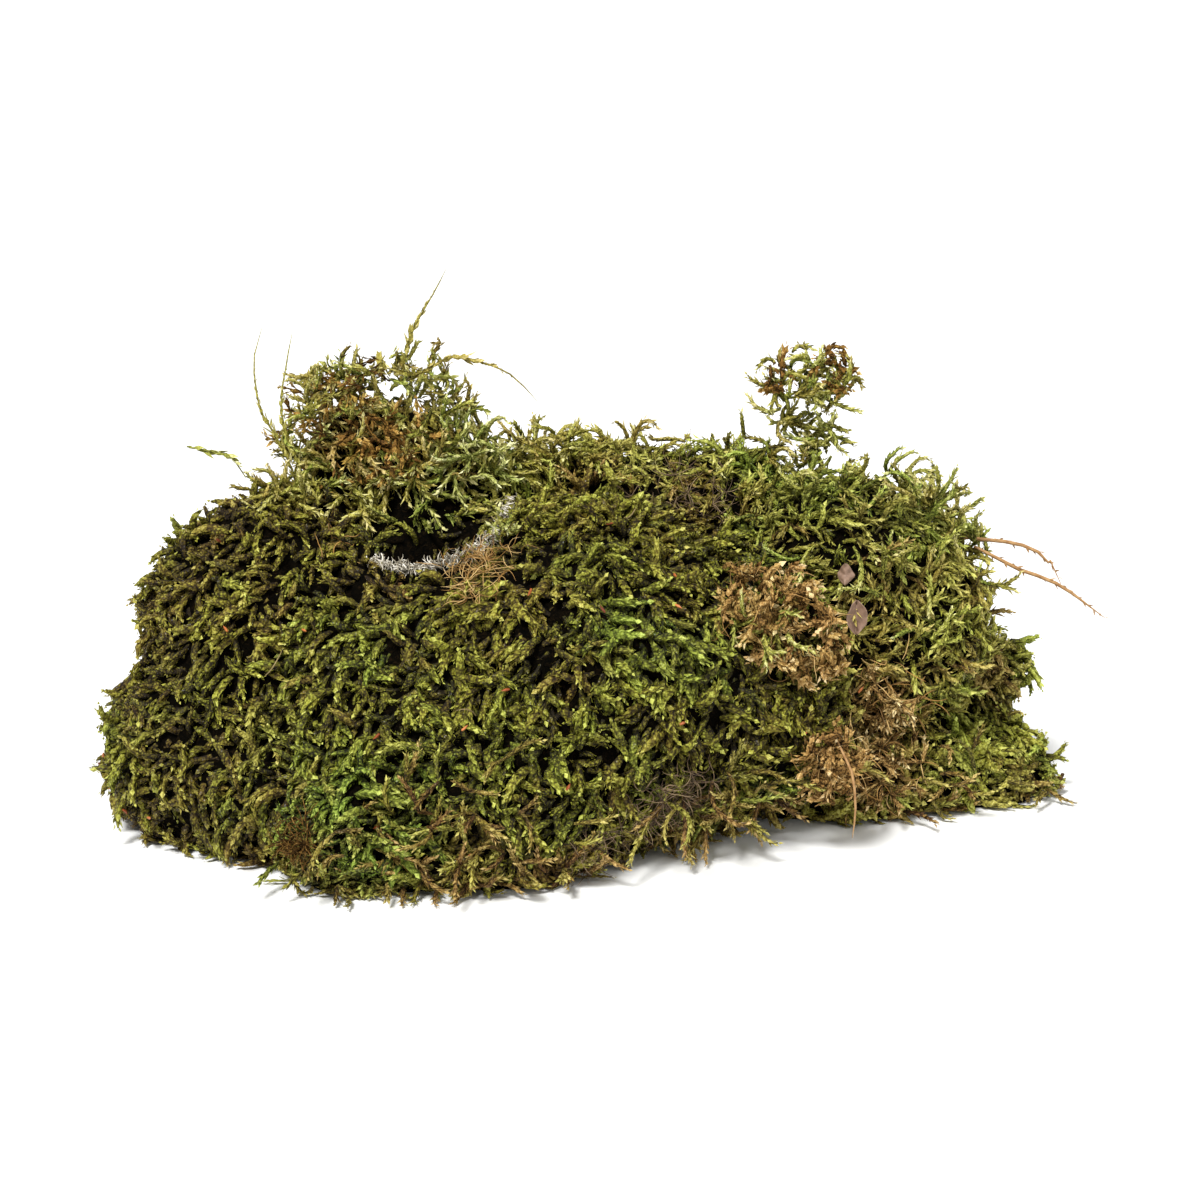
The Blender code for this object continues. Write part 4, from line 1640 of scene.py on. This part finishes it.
@dataclass(frozen=True)
class Studio:
    """A pale floor, soft light and a camera a little above the clump. Lengths in metres."""

    aim: tuple[float, float, float] = (0.0, -0.010, 0.052)
    distance: float = 0.623
    elevation: float = 15.0
    lens: float = 85.0
    floor_size: float = 30.0
    surround: float = 0.34
    floor_colour: str = "f4f4f2"

    def build(self) -> None:
        """Builds the floor, the lights and the camera."""
        mesh = mesh_of("floor", np.array([(-1, -1, 0), (1, -1, 0), (1, 1, 0), (-1, 1, 0)], float)
                       * self.floor_size / 2, [(0, 1, 2, 3)])
        material, _, shader = new_surface("pale_paper_sweep")
        shader.inputs["Base Color"].default_value = linear(self.floor_colour)
        shader.inputs["Roughness"].default_value = 0.9
        mesh.materials.append(material)
        show("floor", mesh)
        world = bpy.data.worlds.new("studio")
        world.use_nodes = True
        world.node_tree.nodes["Background"].inputs["Color"].default_value = (1, 1, 1, 1)
        world.node_tree.nodes["Background"].inputs["Strength"].default_value = self.surround
        bpy.context.scene.world = world
        bpy.context.scene.view_settings.view_transform = "Standard"
        self.lamp("key", (-0.35, -0.75, 1.10), 16.0, 4.4)
        self.lamp("fill", (0.90, -0.60, 0.70), 60.0, 0.9)
        self.camera()

    def lamp(self, name: str, place: tuple[float, float, float], spread: float, power: float) -> None:
        """Adds one broad, distant, soft light that shines at the clump.

        Args:
            name: The light's name.
            place: Where it shines from.
            spread: How broad it looks from the clump, in degrees.
            power: Its strength.
        """
        light = bpy.data.lights.new(name, "SUN")
        light.angle = math.radians(spread)
        light.energy = power
        lamp = bpy.data.objects.new(name, light)
        lamp.location = place
        lamp.rotation_euler = (Vector(self.aim) - Vector(place)).to_track_quat("-Z", "Y").to_euler()
        bpy.context.scene.collection.objects.link(lamp)

    def camera(self) -> None:
        """Adds the camera and makes it the scene's."""
        view = bpy.data.cameras.new("camera")
        view.lens = self.lens
        camera = bpy.data.objects.new("camera", view)
        tilt = math.radians(self.elevation)
        away = Vector((0.0, -math.cos(tilt), math.sin(tilt))) * self.distance
        camera.location = Vector(self.aim) + away
        camera.rotation_euler = (math.radians(90.0) - tilt, 0.0, 0.0)
        bpy.context.scene.collection.objects.link(camera)
        bpy.context.scene.camera = camera


# ---------------------------------------------------------------- putting it together

def clear_patterns(things: Iterable[bpy.types.Object], groups: Iterable[bpy.types.Collection]) -> None:
    """Removes the leaves and shoots that only served as patterns.

    Args:
        things: The leaves.
        groups: The collections of shoots.
    """
    for group in groups:
        for thing in list(group.objects):
            bpy.data.objects.remove(thing)
        bpy.data.collections.remove(group)
    for thing in things:
        bpy.data.objects.remove(thing)


def main() -> None:
    """Builds the clump's looks and the studio."""
    logging.basicConfig(level=logging.INFO, format="%(name)s %(message)s")
    noise.seed_set(NOISE_SEED)
    Studio().build()
    kit = StemKit(leafy_stem_tree(), folded_leaf("folded_blade", 0.70, 0.14, 0.46),
                  folded_leaf("narrow_blade", 0.44, 0.12, 0.18))
    plant_tree = planting_tree()
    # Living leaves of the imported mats: yellow-green to olive, with small glints.
    leaf = LeafFinish("moss_leaf", lift=0.02).material()
    # The same on looser shoots, made paler as painted light for the light that passes through them.
    feathery_painted_light = LeafFinish("feathery_moss_leaf_painted_light", lift=0.21).material()
    # Grey-green leaves with white hair points: pale and matt.
    hoary = LeafFinish("hoary_moss_leaf", ("4a4418", "8c8438", "c0b868", "e6e0a8"),
                       ("4e5820", "929c48", "c4ca7c", "e8eab4"), gloss=0.12, lift=0.1).material()
    # Dried leaves of the loose tangles: straw-green, hardly glossy.
    pale = LeafFinish("loose_moss_leaf", ("3c3410", "827a2a", "bab252", "e2dc98"),
                      ("38441a", "708230", "a6b454", "dade98"), gloss=0.18, lift=0.20).material()
    # Dead leaves, from sun-bleached straw to rusty brown: matt, with no green in them.
    bleached = LeafFinish("bleached_moss_leaf", dead=("3c2c18", "866638", "bc9c62", "e2cc9a"),
                          roughness=0.7, gloss=0.12, lift=0.10).material()
    dead = LeafFinish("dead_moss_leaf", dead=("3a2812", "8c6838", "c29c60", "ecd2a0"),
                      roughness=0.7, gloss=0.12, lift=0.08).material()
    brown = LeafFinish("brown_moss_leaf", dead=("3c2810", "86602c", "b68e48", "dcbe80"),
                       roughness=0.7, gloss=0.12).material()
    # The bed: old stems painted nearly black as the shade in the gaps between shoots.
    old = BedAndPaintedShadeFinish().material()
    # Fibres and skins: felted hair is nearly white, humus grey-brown, and the rest tan to red-brown.
    felt = FibreFinish("felted_fibre", "2a2418", "a89e88", "f8f2e4").material()
    humus = FibreFinish("humus_fibre", "2c2014", "665038", "9a8262").material()
    tan = FibreFinish("tan_fibre", "62461f", "a87c3a", "d4b274").material()
    scale = FibreFinish("red_brown_scale", "5c260c", "94461a", "bc7038", 0.5).material()
    stem = FibreFinish("dry_brown_stem", "3a2412", "8a6236", "c49e6a").material()
    straw = FibreFinish("bleached_straw", "6c5c38", "a08c5c", "c8b88c", 0.6).material()
    flake = FibreFinish("dry_leaf_skin", "443026", "7c6250", "a88a76", 0.6).material()

    braided = ShootNursery("braided_shoot", Habit.BRAIDED, 20, 4.6, 8.8, 25, 165, 101).grow(kit, leaf)
    inside = PackedCore()
    core = show("packed_core", inside.mesh())
    surface = BVHTree.FromObject(core, bpy.context.evaluated_depsgraph_get())
    curly = ShootNursery("curly_shoot", Habit.LOOSE, 14, 4.5, 8.5, 40, 190, 121).grow(kit, leaf)
    for mat in MATS:
        shoots = curly if mat.curly else braided
        finish = pale if mat.node == "back_flap" else feathery_painted_light if mat.curly or mat.airy else leaf
        mat.grow(core, surface, plant_tree, shoots, finish, old)
    # The old stems behind the joints between mats, in the bed's painted-shade finish.
    finish_piece("old_stems", inside.heart(core.data), old, ["front_mat", "rear_mat"])
    bpy.data.objects.remove(core)
    finishes = (
        (LEAFY_TANGLES, pale), (FOOT_TANGLES, feathery_painted_light), (HOARY_TANGLES, hoary), (DEAD_TANGLES, dead),
        (BROWN_TANGLES, brown), (BLEACHED_TANGLES, bleached), (FIBRE_TANGLES, humus),
        (TAN_TANGLES, tan), (SCALES, scale), (STRAWS, straw))
    for tangles, finish in finishes:
        for tangle in tangles:
            tangle.grow(kit, finish)
    for runner in RUNNERS:
        runner.grow(kit, stem if runner.slot == "brown_stem" else pale)
    FeltedRim().grow(kit, felt)
    for node, seed in (("large_leaf_flake", 3), ("small_leaf_flake", 8)):
        LeafFlake(node, seed).grow(flake)
    clear_patterns((kit.broad, kit.narrow), (braided, curly))
    LOG.info("all pieces: %d triangles", Tally.total)


if __name__ == "__main__":
    main()
